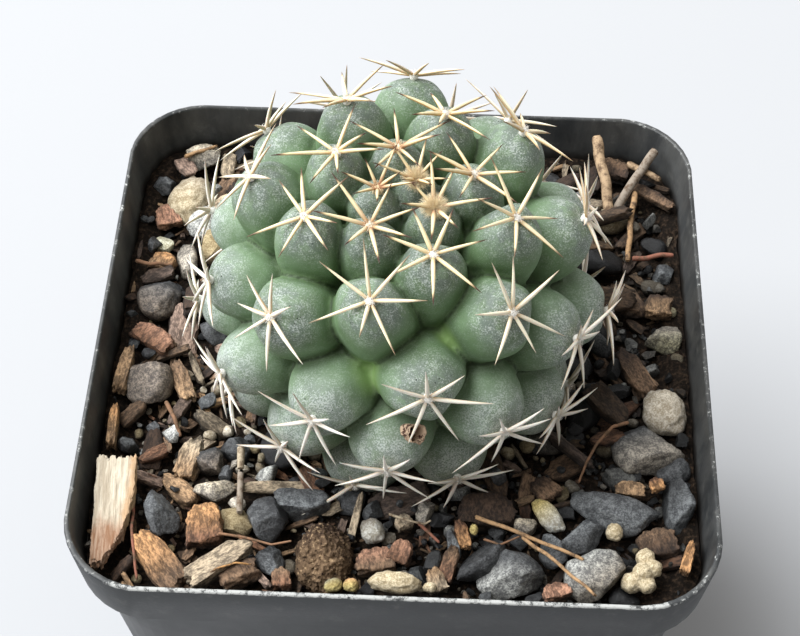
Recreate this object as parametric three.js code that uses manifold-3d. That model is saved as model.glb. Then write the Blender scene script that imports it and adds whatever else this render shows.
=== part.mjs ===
// A small globular cactus with star-shaped spine clusters, growing in a square nursery pot of bark and gravel.
// Millimetres and degrees, Z up. The origin is the centre of the pot's underside.
import * as THREE from "three";
import { mergeVertices } from "three/addons/utils/BufferGeometryUtils.js";
import Module from "manifold-3d";

const wasm = await Module();
wasm.setup();

// Driving dimensions
const gap = 0.3; // clearance between neighbouring pieces

const pot = {
  rimHalf: 35, // half the width across the rim
  baseHalf: 27.5,
  height: 65,
  wall: 0.9,
  floor: 1.2,
  band: 8, // height of the stiff band under the rim
  ledge: 1.3, // how far the band stands out from the body of the pot
  corner: 9, // corner radius at the rim
  cornerSteps: 6,
  drainRadius: 3.5,
  drainReach: 17, // from the middle to a drain hole, along each side
};

const soilDepth = 6.5; // from the rim down to the soil between the stones

const plant = {
  place: new THREE.Vector3(-0.2, 0.2, 72), // middle of the stem's profile
  leanForward: 4.8,
  leanRight: 1.1,
  firstTurn: 184.1, // direction of the areole that is numbered zero
  turn: 137.64, // from each areole to the next older one
  youngest: -1,
  oldest: 45,
};

// Where the areoles lie: number, distance from the stem's axis, height above the middle of the profile.
const areoleProfile = [
  [-1, 1.6, 18.1],
  [4, 7.2, 18.6],
  [9, 11.8, 18.8],
  [15, 17.6, 15.0],
  [22, 20.7, 7.0],
  [30, 22.3, 1.8],
  [40, 20.5, -6.4],
  [46, 18.6, -11.0],
];

const tubercle = {
  halfWidth: 5.1,
  youngHalfWidth: 3.1,
  slender: 1.25, // length from the middle to the tip, as a share of the half width
  fullness: 2.4, // 2 is an ellipsoid, more is a blunter tip
};

// The stem inside the tubercles and its root foot: distance from the axis, height.
const stemProfile = [
  [0, 12.6],
  [8.5, 12.2],
  [12.6, 9.5],
  [15.0, 4.5],
  [15.6, 0],
  [14.8, -6.5],
  [14.2, -12],
  [10.5, -17],
  [5, -22],
  [2.5, -30],
  [0, -32],
];

const spine = {
  length: 6.4,
  thickness: 0.32, // radius of the circle round its three-sided foot
  raise: 10, // degrees that it stands up from the plane of its star
  raiseStray: 6,
  youngRaise: 26, // added in the crown's middle
  crowding: 7, // degrees that the side spines lean towards the crown
  fewest: 7,
  most: 8,
  stray: 12, // degrees that a spine may leave its even place round the star
  shortest: 0.74, // of the usual length
  longest: 1.1,
  stunted: 0.6, // length of the few that stay short
  stuntedShare: 0.13,
};

const felt = { radius: 0.9, youngRadius: 1.7, height: 0.5 };

// Helpers

// A repeatable random draw between two limits.
function seededDraw(seed) {
  let state = seed;
  return (low, high) => {
    state = (Math.imul(state, 1664525) + 1013904223) >>> 0;
    return low + ((high - low) * state) / 2 ** 32;
  };
}

function solidOf(geometry) {
  const bare = geometry.clone();
  bare.deleteAttribute("normal");
  bare.deleteAttribute("uv");
  const merged = mergeVertices(bare, 1e-4);
  const vertProperties = merged.attributes.position.array;
  const triVerts = new Uint32Array(merged.index.array);
  return new wasm.Manifold(new wasm.Mesh({ numProp: 3, vertProperties, triVerts }));
}

function geometryOf(solid) {
  const mesh = solid.getMesh();
  const geometry = new THREE.BufferGeometry();
  geometry.setAttribute("position", new THREE.BufferAttribute(mesh.vertProperties, 3));
  geometry.setIndex(new THREE.BufferAttribute(mesh.triVerts, 1));
  geometry.computeVertexNormals();
  return geometry;
}

// Only the largest body stays, without loose crumbs and without hollows that are sealed in.
function largestBody(solid) {
  return solid.decompose().reduce((best, body) => (body.volume() > best.volume() ? body : best));
}

function namedMesh(name, geometry, material) {
  const mesh = new THREE.Mesh(geometry, material);
  mesh.name = name;
  return mesh;
}

const degrees = THREE.MathUtils.degToRad;

// The pot and what fills it: a lathe whose circle is drawn out to a rounded square

const cornerShare = pot.corner / pot.rimHalf;

function roundedSquare() {
  const outline = [];
  for (let side = 0; side < 4; side++) {
    const middle = new THREE.Vector2(1 - cornerShare, 1 - cornerShare);
    for (let step = 0; step <= pot.cornerSteps; step++) {
      const angle = (step / pot.cornerSteps) * (Math.PI / 2);
      const point = new THREE.Vector2(Math.cos(angle), Math.sin(angle)).multiplyScalar(cornerShare);
      outline.push(point.add(middle).rotateAround(new THREE.Vector2(), side * (Math.PI / 2)));
    }
  }
  return outline;
}

function squareLathe(profile) {
  const outline = roundedSquare();
  const rows = profile.map(([half, z]) => new THREE.Vector2(half, z));
  const geometry = new THREE.LatheGeometry(rows, outline.length);
  const position = geometry.attributes.position;
  for (let i = 0; i < position.count; i++) {
    const corner = outline[Math.floor(i / rows.length) % outline.length];
    const row = rows[i % rows.length];
    position.setXYZ(i, corner.x * row.x, corner.y * row.x, row.y);
  }
  return geometry;
}

const bandFoot = pot.height - pot.band;
const bandHalf = pot.rimHalf - 0.6;
const bodyHalf = bandHalf - pot.ledge;

// The wall from the floor up to the rim, moved inwards by a thickness.
function wallProfile(inset, floor) {
  return [
    [0, floor],
    [pot.baseHalf - inset, floor],
    [bodyHalf - inset, bandFoot + inset],
    [bandHalf - inset, bandFoot + inset],
    [pot.rimHalf - inset, pot.height],
  ];
}

function makePot() {
  const inside = wallProfile(pot.wall, pot.floor).reverse();
  let solid = solidOf(squareLathe([...wallProfile(0, 0), ...inside]));
  for (const [x, y] of [[1, 1], [1, -1], [-1, 1], [-1, -1]]) {
    const drain = new THREE.CylinderGeometry(pot.drainRadius, pot.drainRadius, 4 * pot.floor, 16);
    drain.rotateX(Math.PI / 2).translate(x * pot.drainReach, y * pot.drainReach, 0);
    solid = solid.subtract(solidOf(drain));
  }
  return geometryOf(solid);
}

// Rounded lumps: tubercles and stones share one form, given by half sizes along three axes

function lumpGeometry(lump, grow = 0) {
  const geometry = lump.form.clone();
  const half = lump.half.clone().addScalar(grow);
  geometry.applyMatrix4(new THREE.Matrix4().compose(lump.centre, lump.turn, half));
  return geometry;
}

// How far a point is from a lump's surface, measured towards its middle.
function clearance(lump, point) {
  const local = point.clone().sub(lump.centre);
  const away = local.length();
  local.applyQuaternion(lump.turn.clone().invert()).divide(lump.half);
  const round = Math.hypot(local.x, local.y) ** lump.fullness + Math.abs(local.z) ** lump.fullness;
  return away * (1 - round ** (-1 / lump.fullness));
}

// The spiral of areoles

const plantFrame = new THREE.Group();
plantFrame.position.copy(plant.place);
plantFrame.rotation.set(degrees(plant.leanForward), degrees(plant.leanRight), 0);
plantFrame.updateMatrixWorld(true);

const profile = new THREE.CubicInterpolant(
  areoleProfile.map((row) => row[0]),
  areoleProfile.flatMap((row) => row.slice(1)),
  2,
);

// A frame whose X runs round the stem, whose Y climbs to the crown and whose Z points out at an elevation.
function outwardFrame(direction, elevation) {
  const side = new THREE.Vector3(-Math.sin(direction), Math.cos(direction), 0);
  const out = new THREE.Vector3(Math.cos(direction), Math.sin(direction), 0);
  out.multiplyScalar(Math.cos(elevation)).setZ(Math.sin(elevation));
  const climb = out.clone().cross(side);
  return new THREE.Quaternion().setFromRotationMatrix(new THREE.Matrix4().makeBasis(side, climb, out));
}

function areole(number) {
  const [radius, height] = profile.evaluate(number);
  const age = Math.max(number, 0);
  const direction = degrees(plant.firstTurn + plant.turn * number);
  const tip = new THREE.Vector3(radius * Math.cos(direction), radius * Math.sin(direction), height);
  const young = Math.exp(-((age / 9) ** 1.5));
  const width = tubercle.halfWidth - (tubercle.halfWidth - tubercle.youngHalfWidth) * young;
  const tubercleTurn = outwardFrame(direction, degrees(4 + 84 * Math.exp(-((age / 19) ** 2.6))));
  const starTurn = outwardFrame(direction, degrees(-4 + 88 * Math.exp(-((age / 15.5) ** 2))));
  const outward = new THREE.Vector3(0, 0, 1).applyQuaternion(tubercleTurn);
  return { number, age, tip, width, tubercleTurn, starTurn, outward };
}

const areoles = [];
for (let number = plant.youngest; number <= plant.oldest; number++) areoles.push(areole(number));

// The body: a stem and its tubercles in one piece

function tubercleForm() {
  const form = new THREE.SphereGeometry(1, 7, 5).rotateX(Math.PI / 2);
  const position = form.attributes.position;
  const point = new THREE.Vector3();
  for (let i = 0; i < position.count; i++) {
    point.fromBufferAttribute(position, i);
    const round = Math.hypot(point.x, point.y) ** tubercle.fullness + Math.abs(point.z) ** tubercle.fullness;
    point.multiplyScalar(round ** (-1 / tubercle.fullness));
    position.setXYZ(i, point.x, point.y, point.z);
  }
  return form;
}

const eggForm = tubercleForm();
const tubercles = areoles.map(({ tip, width, tubercleTurn, outward }) => {
  const length = width * tubercle.slender;
  return {
    form: eggForm,
    centre: tip.clone().addScaledVector(outward, -length),
    turn: tubercleTurn,
    half: new THREE.Vector3(width, width, length),
    fullness: tubercle.fullness,
  };
});

function bodySolid(grow) {
  const rows = stemProfile.map(([r, z]) => new THREE.Vector2(r && r + grow, z)).reverse();
  rows[0].y -= grow;
  const stem = new THREE.LatheGeometry(rows, 20).rotateX(Math.PI / 2);
  const grown = tubercles.map((lump) => solidOf(lumpGeometry(lump, grow)));
  return largestBody(grown.reduce((body, lump) => body.add(lump), solidOf(stem)));
}

// Loose pieces on the soil

// Large pieces that show by themselves: place, depth of the middle below the rim, half sizes, turn, tilt.
const loosePieces = [
  {
    name: "wood_chip", x: -30.4, y: -23.6, depth: 3.4,
    half: [2.3, 6.8, 0.9], turn: 4, tilt: 5, color: 0xc9a77f,
  },
  {
    name: "bark_chip", x: -25, y: -28.6, depth: 5,
    half: [2.1, 4.2, 1.3], turn: 40, tilt: 12, color: 0x8a5c36,
  },
  {
    name: "bark_lump", x: -7.4, y: -27.0, depth: 6.2,
    half: [3.1, 4.2, 3.6], turn: 8, tilt: 0, color: 0x4b3a2b,
  },
  {
    name: "blue_grey_stone", x: 12.8, y: -29.0, depth: 5.3,
    half: [3.5, 2.8, 2.2], turn: -12, tilt: 8, color: 0x6f7780,
  },
  {
    name: "grey_stone", x: 21.7, y: -28.2, depth: 5.2,
    half: [3.6, 2.7, 2.2], turn: 40, tilt: 5, color: 0x67686a,
  },
  {
    name: "long_dark_stone", x: 24.2, y: -20.4, depth: 5.6,
    half: [5, 2.5, 2], turn: -14, tilt: 0, color: 0x4c5157,
  },
  {
    name: "brown_grey_stone", x: 28, y: -11.6, depth: 5.6,
    half: [3.9, 3.3, 2], turn: 20, tilt: -6, color: 0x7a736a,
  },
  {
    name: "pumice_knob", x: 27.2, y: -28.4, depth: 4.5,
    half: [2, 2.8, 1.6], turn: -38, tilt: 0, color: 0xb9ad96,
  },
  {
    name: "pale_stone", x: -27.4, y: 23.4, depth: 5.6,
    half: [2.9, 3.9, 2.4], turn: -12, tilt: 0, color: 0xb7ab97,
  },
];

const grit = {
  spacing: 6.6, // between the middles of neighbouring stones
  scatter: 1.5,
  smallest: 2.1,
  largest: 3.8,
  depth: 6.4, // of a stone's middle below the rim
  roughness: 0.28,
};

function stoneForm(detail, seed, roughness) {
  const draw = seededDraw(seed);
  const plain = new THREE.IcosahedronGeometry(1, detail).deleteAttribute("normal").deleteAttribute("uv");
  const form = mergeVertices(plain);
  const position = form.attributes.position;
  for (let i = 0; i < position.count; i++) {
    const share = draw(1 - roughness, 1);
    position.setXYZ(i, position.getX(i) * share, position.getY(i) * share, position.getZ(i) * share);
  }
  return form;
}

// A flat splinter: straight grain sides and broken ends.
function splinterForm(seed) {
  const draw = seededDraw(seed);
  const form = new THREE.BoxGeometry(2, 2, 2, 4, 2, 1).deleteAttribute("normal").deleteAttribute("uv");
  const merged = mergeVertices(form);
  const position = merged.attributes.position;
  for (let i = 0; i < position.count; i++) {
    const [x, y, z] = [position.getX(i), position.getY(i), position.getZ(i)];
    const point = y < -0.5 ? 1 - 0.75 * Math.abs(x + 0.4) : 1;
    position.setXYZ(i, x * draw(0.9, 1), y * (Math.abs(y) > 0.5 ? point * draw(0.86, 1) : 1), z * draw(0.8, 1));
  }
  return merged;
}

const pieceLumps = loosePieces.map((piece, index) => ({
  form: piece.name === "wood_chip" ? splinterForm(7) : stoneForm(1, 100 + index, 0.18),
  centre: new THREE.Vector3(piece.x, piece.y, pot.height - piece.depth),
  turn: new THREE.Quaternion().setFromEuler(new THREE.Euler(degrees(piece.tilt), 0, degrees(piece.turn), "ZXY")),
  half: new THREE.Vector3(...piece.half),
  fullness: 2,
}));

// The plant's tubercles as they stand in the pot.
const standingTubercles = tubercles.map((lump) => ({
  ...lump,
  centre: lump.centre.clone().applyMatrix4(plantFrame.matrix),
  turn: plantFrame.quaternion.clone().multiply(lump.turn),
}));

// Stones that are bedded in the soil, clear of the plant's lowest tubercles and of the large pieces.
function gritLumps() {
  const draw = seededDraw(11);
  const reach = bandHalf - pot.wall - gap;
  const lumps = [];
  for (let x = -reach + 1; x < reach; x += grit.spacing) {
    for (let y = -reach + 1; y < reach; y += grit.spacing) {
      const size = draw(grit.smallest, grit.largest);
      const centre = new THREE.Vector3(x + draw(-grit.scatter, grit.scatter), y + draw(-grit.scatter, grit.scatter));
      centre.z = pot.height - grit.depth + draw(-0.4, 0.9);
      const turn = new THREE.Quaternion().setFromEuler(new THREE.Euler(draw(-0.5, 0.5), draw(-0.5, 0.5), draw(0, 6)));
      const half = new THREE.Vector3(size, size * draw(0.6, 0.9), size * draw(0.55, 0.8));
      const form = stoneForm(0, Math.floor(draw(0, 1e6)), grit.roughness);
      const clearOf = (lump) => clearance(lump, centre) > size;
      if (standingTubercles.every(clearOf) && pieceLumps.every(clearOf)) {
        lumps.push({ form, centre, turn, half, fullness: 2 });
      }
    }
  }
  return lumps;
}

const bedded = gritLumps();

function makeSoil() {
  const inset = pot.wall + gap;
  const wall = wallProfile(inset, pot.floor + gap);
  const top = pot.height - soilDepth;
  const full = solidOf(squareLathe([...wall, [0, pot.height]]));
  const bed = new THREE.BoxGeometry(2 * pot.rimHalf, 2 * pot.rimHalf, top).translate(0, 0, top / 2);
  let solid = solidOf(bed);
  for (const lump of bedded) solid = solid.add(solidOf(lumpGeometry(lump)));
  solid = solid.intersect(full);
  for (const lump of pieceLumps) solid = solid.subtract(solidOf(lumpGeometry(lump, gap)));
  const nest = geometryOf(bodySolid(gap)).applyMatrix4(plantFrame.matrix);
  return geometryOf(largestBody(solid.subtract(solidOf(nest))));
}

// Spine stars

// A three-sided needle with its foot at the origin, along a direction in the star's own frame.
function spineGeometry(direction, length) {
  const geometry = new THREE.ConeGeometry(spine.thickness, length, 3);
  geometry.translate(0, length / 2, 0);
  return geometry.applyQuaternion(new THREE.Quaternion().setFromUnitVectors(new THREE.Vector3(0, 1, 0), direction));
}

function spineDirection(turn, raise) {
  const flat = Math.cos(degrees(raise));
  return new THREE.Vector3(
    flat * Math.cos(degrees(turn)),
    flat * Math.sin(degrees(turn)),
    Math.sin(degrees(raise)),
  );
}

// A spine grows in its own direction, or a little steeper, aside or shorter where a neighbour is in its way.
const trials = [];
for (let steeper = 0; steeper <= 42; steeper += 3) {
  for (const aside of [0, -5, 5, -10, 10, -15, 15]) {
    for (const share of [1, 0.85, 0.7]) {
      const effort = steeper + 1.2 * Math.abs(aside) + 90 * (1 - share);
      trials.push({ steeper, aside, share, effort });
    }
  }
}
trials.sort((a, b) => a.effort - b.effort);

const inPlantFrame = (lump) => ({
  ...lump,
  centre: lump.centre.clone().applyMatrix4(plantFrame.matrix.clone().invert()),
  turn: plantFrame.quaternion.clone().invert().multiply(lump.turn),
});
const obstacles = [...tubercles, ...[...bedded, ...pieceLumps].map(inPlantFrame)];
const soilTop = pot.height - soilDepth + spine.thickness + gap;
const grownSpines = [];
const nearest = new THREE.Vector3();

// What a star's spines could reach.
function neighboursOf(star) {
  const near = (point) => point.distanceTo(star.seat) < 2.2 * spine.length;
  return {
    lumps: obstacles.filter((lump) => near(lump.centre)),
    stars: stars.filter((other) => other !== star && near(other.seat)),
    spines: grownSpines.filter((other) => other.star !== star && near(other.line.start)),
  };
}

function spineIsClear(line, neighbours) {
  return [0.25, 0.375, 0.5, 0.625, 0.75, 0.875, 1].every((share) => {
    const point = line.at(share, new THREE.Vector3());
    const radius = spine.thickness * (1 - share);
    const misses = (other) => {
      const along = other.line.closestPointToPointParameter(point, true);
      const otherRadius = spine.thickness * (1 - along);
      return other.line.at(along, nearest).distanceTo(point) > radius + otherRadius + 1.3 * gap;
    };
    return (
      plantFrame.localToWorld(point.clone()).z > soilTop &&
      neighbours.lumps.every((lump) => clearance(lump, point) > radius + 1.6 * gap) &&
      neighbours.stars.every((other) => other.seat.distanceTo(point) > other.feltRadius + radius + gap) &&
      neighbours.spines.every(misses)
    );
  });
}

const stars = areoles.map(({ number, age, tip, tubercleTurn, starTurn, outward }) => {
  const feltRadius = felt.radius + (felt.youngRadius - felt.radius) * Math.exp(-age / 1.6);
  const seat = tip.clone().addScaledVector(outward, gap + felt.height);
  return { number, age, seat, feltRadius, tubercleTurn, starTurn, spines: [] };
});

function growSpines(star) {
  const draw = seededDraw(500 + star.number);
  const count = Math.floor(draw(spine.fewest, spine.most + 1));
  const youth = Math.exp(-star.age / 2);
  const lean = draw(-7, 7);
  const neighbours = neighboursOf(star);
  for (let i = 0; i < count; i++) {
    const around = lean + (i * 360) / count;
    const turn = around + spine.crowding * Math.cos(degrees(around)) + draw(-spine.stray, spine.stray);
    const grown = draw(spine.shortest, spine.longest);
    const full = draw(0, 1) < spine.stuntedShare ? spine.stunted : grown;
    const length = spine.length * (1 - 0.12 * youth) * full;
    const raise = spine.raise + spine.youngRaise * youth + draw(-spine.raiseStray, spine.raiseStray);
    for (const { steeper, aside, share } of trials) {
      const direction = spineDirection(turn + aside, raise + steeper);
      const reach = direction.clone().applyQuaternion(star.starTurn).multiplyScalar(length * share);
      const line = new THREE.Line3(star.seat, star.seat.clone().add(reach));
      if (spineIsClear(line, neighbours)) {
        star.spines.push(spineGeometry(direction, length * share));
        grownSpines.push({ star, line });
        break;
      }
    }
  }
}

// The felt cushion lies flat on its tubercle, while the spines spread in the star's own plane.
function starGeometry(star) {
  const cushion = new THREE.CylinderGeometry(0.6, 1, 2, 6).rotateX(Math.PI / 2);
  cushion.scale(star.feltRadius, star.feltRadius, felt.height);
  cushion.applyQuaternion(star.starTurn.clone().invert().multiply(star.tubercleTurn));
  return geometryOf(star.spines.reduce((solid, needle) => solid.add(solidOf(needle)), solidOf(cushion)));
}

// Assembly

const plasticFinish = new THREE.MeshStandardMaterial({ color: 0x3c3e40, roughness: 0.55 });
const soilFinish = new THREE.MeshStandardMaterial({ color: 0x3a2c22, roughness: 0.95 });
const skinFinish = new THREE.MeshStandardMaterial({ color: 0x6f8f73, roughness: 0.6 });
const spineFinish = new THREE.MeshStandardMaterial({ color: 0xe2d3b4, roughness: 0.5 });

const pottedCactus = new THREE.Group();
pottedCactus.add(namedMesh("pot", makePot(), plasticFinish));
pottedCactus.add(namedMesh("soil", makeSoil(), soilFinish));
pieceLumps.forEach((lump, index) => {
  const { name, color } = loosePieces[index];
  const finish = new THREE.MeshStandardMaterial({ color, roughness: 0.9 });
  pottedCactus.add(namedMesh(name, lumpGeometry(lump), finish));
});

plantFrame.add(namedMesh("cactus_body", geometryOf(bodySolid(0)), skinFinish));
for (const star of stars) {
  growSpines(star);
  const name = "spine_star_" + String(star.number + 2).padStart(2, "0");
  const mesh = namedMesh(name, starGeometry(star), spineFinish);
  mesh.position.copy(star.seat);
  mesh.quaternion.copy(star.starTurn);
  plantFrame.add(mesh);
}
pottedCactus.add(plantFrame);

export default pottedCactus;
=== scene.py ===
import math
import random

import bmesh
import bpy
import numpy as np
from mathutils import Matrix, Vector


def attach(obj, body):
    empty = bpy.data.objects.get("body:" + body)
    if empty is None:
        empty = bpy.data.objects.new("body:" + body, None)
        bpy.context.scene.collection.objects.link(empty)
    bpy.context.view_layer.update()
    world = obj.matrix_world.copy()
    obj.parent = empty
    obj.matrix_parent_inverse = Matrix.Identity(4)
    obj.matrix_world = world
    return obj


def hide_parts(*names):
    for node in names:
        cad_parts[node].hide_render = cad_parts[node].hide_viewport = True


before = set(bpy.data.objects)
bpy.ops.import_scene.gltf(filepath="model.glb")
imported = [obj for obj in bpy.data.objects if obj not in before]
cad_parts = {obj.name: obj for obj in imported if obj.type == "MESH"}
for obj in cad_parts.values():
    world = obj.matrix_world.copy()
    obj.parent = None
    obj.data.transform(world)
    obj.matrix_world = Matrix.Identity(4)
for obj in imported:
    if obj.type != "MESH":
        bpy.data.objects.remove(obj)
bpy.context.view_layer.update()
bpy.ops.object.select_all(action="DESELECT")
mm = 0.001

# The floor
# A wide sheet of plain pale paper that the pot stands on. It isn't part of the object.
# One plane, with the faint clouding of uncoated paper in its colour.

FLOOR_WIDTH = 4.0
FLOOR_COLOR = (0.460, 0.466, 0.480, 1)
FLOOR_SHADE = (0.450, 0.456, 0.470, 1)
FLOOR_CLOUDS = 0.2


class Socket:
    """A node's output in a finish. Sums on it add Math nodes."""

    def __init__(self, tree, output):
        self.tree = tree
        self.output = output

    def node(self, kind, settings, inputs, output=0):
        """Adds a node with settings, and values or links on its sockets. Returns one of its outputs."""
        made = self.tree.nodes.new("ShaderNode" + kind)
        for name, value in settings.items():
            if name == "stops":
                ramp = made.color_ramp
                while len(ramp.elements) < len(value):
                    ramp.elements.new(1)
                for element, (position, color) in zip(ramp.elements, value):
                    element.position = position
                    element.color = color
            else:
                setattr(made, name, value)
        for name, value in inputs.items():
            if isinstance(value, Socket):
                self.tree.links.new(value.output, made.inputs[name])
            else:
                made.inputs[name].default_value = value
        return Socket(self.tree, made.outputs[output])

    def math(self, operation, *values):
        return self.node("Math", {"operation": operation}, dict(enumerate(values)))

    def __add__(self, other):
        return self.math("ADD", self, other)

    def __radd__(self, other):
        return self.math("ADD", other, self)

    def __sub__(self, other):
        return self.math("SUBTRACT", self, other)

    def __rsub__(self, other):
        return self.math("SUBTRACT", other, self)

    def __mul__(self, other):
        return self.math("MULTIPLY", self, other)

    def __rmul__(self, other):
        return self.math("MULTIPLY", other, self)

    def between(self, low, high):
        """Rises smoothly from 0 at low to 1 at high."""
        return self.node("MapRange", {"interpolation_type": "SMOOTHSTEP"}, {0: self, 1: low, 2: high})

    def mix(self, low, high):
        """The colour at this share of the way between two others."""
        return self.node("Mix", {"data_type": "RGBA"}, {0: self, 6: low, 7: high}, 2)

    def clouds(self, size, detail=3.0, roughness=0.55):
        """Soft patches of about a size, from 0 to 1, over a place in the finish."""
        inputs = {"Vector": self, "Scale": 1 / size, "Detail": detail, "Roughness": roughness}
        return self.node("TexNoise", {}, inputs, "Fac")

    def along(self, axis):
        """One of the three numbers of a place or a grain: its X, Y or Z."""
        return self.node("SeparateXYZ", {}, {0: self}, axis)

    def stretched(self, scale):
        """The same place, on a pattern that is drawn out where the scale is small."""
        return self.node("VectorMath", {"operation": "MULTIPLY"}, {0: self, 1: scale})

    def paint(self, socket):
        """Feeds this value to a socket of the finish's surface."""
        self.tree.links.new(self.output, self.tree.nodes["Principled BSDF"].inputs[socket])

    def emboss(self, strength, depth):
        """Raises this value on the surface as fine relief."""
        bump = {"Strength": strength, "Distance": depth, "Height": self}
        self.node("Bump", {}, bump, "Normal").paint("Normal")


def finish(name, constants):
    """A material with these constant sockets, and the place on the object from which its nodes start."""
    material = bpy.data.materials.new(name)
    material.use_nodes = True
    tree = material.node_tree
    for socket, value in constants.items():
        tree.nodes["Principled BSDF"].inputs[socket].default_value = value
    return material, Socket(tree, None).node("TexCoord", {}, {}, "Object")


paper, place = finish("pale_paper", {"Roughness": 0.9, "Specular IOR Level": 0.2})
place.clouds(FLOOR_CLOUDS).mix(FLOOR_COLOR, FLOOR_SHADE).paint("Base Color")

bpy.ops.mesh.primitive_plane_add(size=FLOOR_WIDTH)
floor = bpy.context.object
floor.name = "floor"
floor.data.materials.append(paper)

# Studio light
# A window's width of soft daylight from the left, in a white room that is darker towards the viewer.
# The key is one large area light. The room is a plain background that fades from back to front.

ROOM_COLOR = (1.0, 0.985, 0.96, 1)
ROOM_SHADE = (0.36, 0.35, 0.33, 1)
ROOM_STRENGTH = 0.66
ROOM_AXIS = (-0.35, 0.75, 0.56)
KEY_PLACE = Vector((-1.32, 0.31, 1.76))
KEY_AIM = Vector((0, 0, 0.06))
KEY_SIZE = 2.3
KEY_POWER = 124
KEY_COLOR = (0.955, 0.98, 1.0)

room = bpy.data.worlds.new("white_room")
room.use_nodes = True
sky = Socket(room.node_tree, None).node("TexCoord", {}, {}, "Generated")
facing = sky.node("VectorMath", {"operation": "DOT_PRODUCT"}, {0: sky, 1: ROOM_AXIS}, "Value")
backdrop = room.node_tree.nodes["Background"]
backdrop.inputs["Strength"].default_value = ROOM_STRENGTH
fading = facing.between(-0.7, 0.8).mix(ROOM_SHADE, ROOM_COLOR)
room.node_tree.links.new(fading.output, backdrop.inputs["Color"])
bpy.context.scene.world = room

aim = (KEY_AIM - KEY_PLACE).to_track_quat("-Z", "Y").to_euler()
bpy.ops.object.light_add(type="AREA", location=KEY_PLACE, rotation=aim)
window = bpy.context.object
window.name = "window"
window.data.size = KEY_SIZE
window.data.energy = KEY_POWER
window.data.color = KEY_COLOR
bpy.context.scene.view_settings.view_transform = "Standard"

# The camera
# It looks down on the plant from the front, as the photograph does, at the same distance and focal length.
# Its place and turn were fitted to the outline of the pot's rim.

CAMERA_PLACE = Vector((3.53, -122.04, 225.81)) * mm
CAMERA_TURN = math.radians(1.766)
CAMERA_DOWN = math.radians(52.414)
CAMERA_ROLL = math.radians(0.603)
CAMERA_LENS = 78.86
CAMERA_SENSOR = 36

look = Matrix.Rotation(CAMERA_TURN, 3, "Z") @ Matrix.Rotation(math.pi / 2 - CAMERA_DOWN, 3, "X")
look = look @ Matrix.Rotation(CAMERA_ROLL, 3, "Z")
bpy.ops.object.camera_add(location=CAMERA_PLACE, rotation=look.to_euler())
camera = bpy.context.object
camera.data.lens = CAMERA_LENS
camera.data.sensor_width = CAMERA_SENSOR
camera.data.clip_start = 1 * mm
bpy.context.scene.camera = camera

# The pot
# A thin square nursery pot, moulded in dark grey plastic, with a stiff band under its rim and drain holes.
# Its profile is drawn up the outside and down the inside of a rounded square, and the holes are cut.
# The rim's edge is worn pale where pots are stacked and carried, and soil has stained the inside.

RIM_HALF = 35 * mm
BASE_HALF = 27.5 * mm
POT_HEIGHT = 65 * mm
POT_WALL = 0.9 * mm
POT_FLOOR = 1.2 * mm
BAND_FOOT = 57 * mm
BAND_HALF = 34.4 * mm
BODY_HALF = 33.1 * mm
CORNER_SHARE = 9 / 35
CORNER_SIDES = 9
DRAIN_RADIUS = 3.5 * mm
DRAIN_REACH = 17 * mm
SAME_HEIGHT = 0.003 * mm
PLASTIC = (0.022, 0.024, 0.026, 1)
PLASTIC_SCUFFED = (0.052, 0.056, 0.059, 1)
PLASTIC_DUST = (0.22, 0.215, 0.2, 1)
SOIL_FILM = (0.012, 0.009, 0.007, 1)
RIM_WORN = (0.56, 0.565, 0.545, 1)
# Where the rim's wear, the soil's film and the side that faces the viewer start and end.
WEAR_HEIGHTS = (64.95 * mm, 65.1 * mm)
FILM_HEIGHTS = (61.3 * mm, 59.6 * mm)
FRONT_SIDE = (-33.6 * mm, -34.8 * mm)


def select_where(piece, test):
    """Selects the vertices of a piece in edit mode whose place passes a test."""
    mesh = bmesh.from_edit_mesh(piece.data)
    for vertex in mesh.verts:
        vertex.select = test(vertex.co)
    mesh.select_flush_mode()
    bmesh.update_edit_mesh(piece.data)


def add_rounded_square(name, half, height):
    """A flat rounded square: a circle of the corner's radius whose quarters are drawn apart."""
    radius = CORNER_SHARE * half
    count = 4 * CORNER_SIDES
    half_step = (0, 0, math.pi / count)
    bpy.ops.mesh.primitive_circle_add(
        vertices=count, radius=radius, fill_type="NGON", location=(0, 0, height), rotation=half_step
    )
    piece = bpy.context.object
    piece.name = name
    bpy.ops.object.transform_apply()
    bpy.ops.object.mode_set(mode="EDIT")
    # A quarter that is drawn out already lies past the circle.
    circle = 1.01 * radius
    for x, y in ((1, 1), (1, -1), (-1, 1), (-1, -1)):
        select_where(piece, lambda co: 0 < co.x * x < circle and 0 < co.y * y < circle)
        bpy.ops.transform.translate(value=(x * (half - radius), y * (half - radius), 0))
    bpy.ops.mesh.select_all(action="SELECT")
    return piece


def extrude_rows(rows):
    """Extrudes the selected face through rows of half width and height. The first row is where it is."""
    for (half, height), (next_half, next_height) in zip(rows, rows[1:]):
        bpy.ops.mesh.extrude_region_move(TRANSFORM_OT_translate={"value": (0, 0, next_height - height)})
        grow = next_half / half
        bpy.ops.transform.resize(value=(grow, grow, 1), center_override=(0, 0, next_height))
    bpy.ops.object.mode_set(mode="OBJECT")


def apply_modifiers(piece):
    bpy.context.view_layer.objects.active = piece
    for modifier in list(piece.modifiers):
        bpy.ops.object.modifier_apply(modifier=modifier.name)


def smooth_but(piece, angle):
    """Shades a piece smooth, apart from edges that turn by more than an angle in degrees."""
    bpy.ops.object.select_all(action="DESELECT")
    piece.select_set(True)
    bpy.ops.object.shade_smooth_by_angle(angle=math.radians(angle))


def add_attribute(mesh, name, values, kind="FLOAT", field="value"):
    """Gives each vertex a number, a vector or a colour, which the finish reads."""
    attribute = mesh.attributes.new(name, kind, "POINT")
    attribute.data.foreach_set(field, values.astype(np.float32).ravel())


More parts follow.
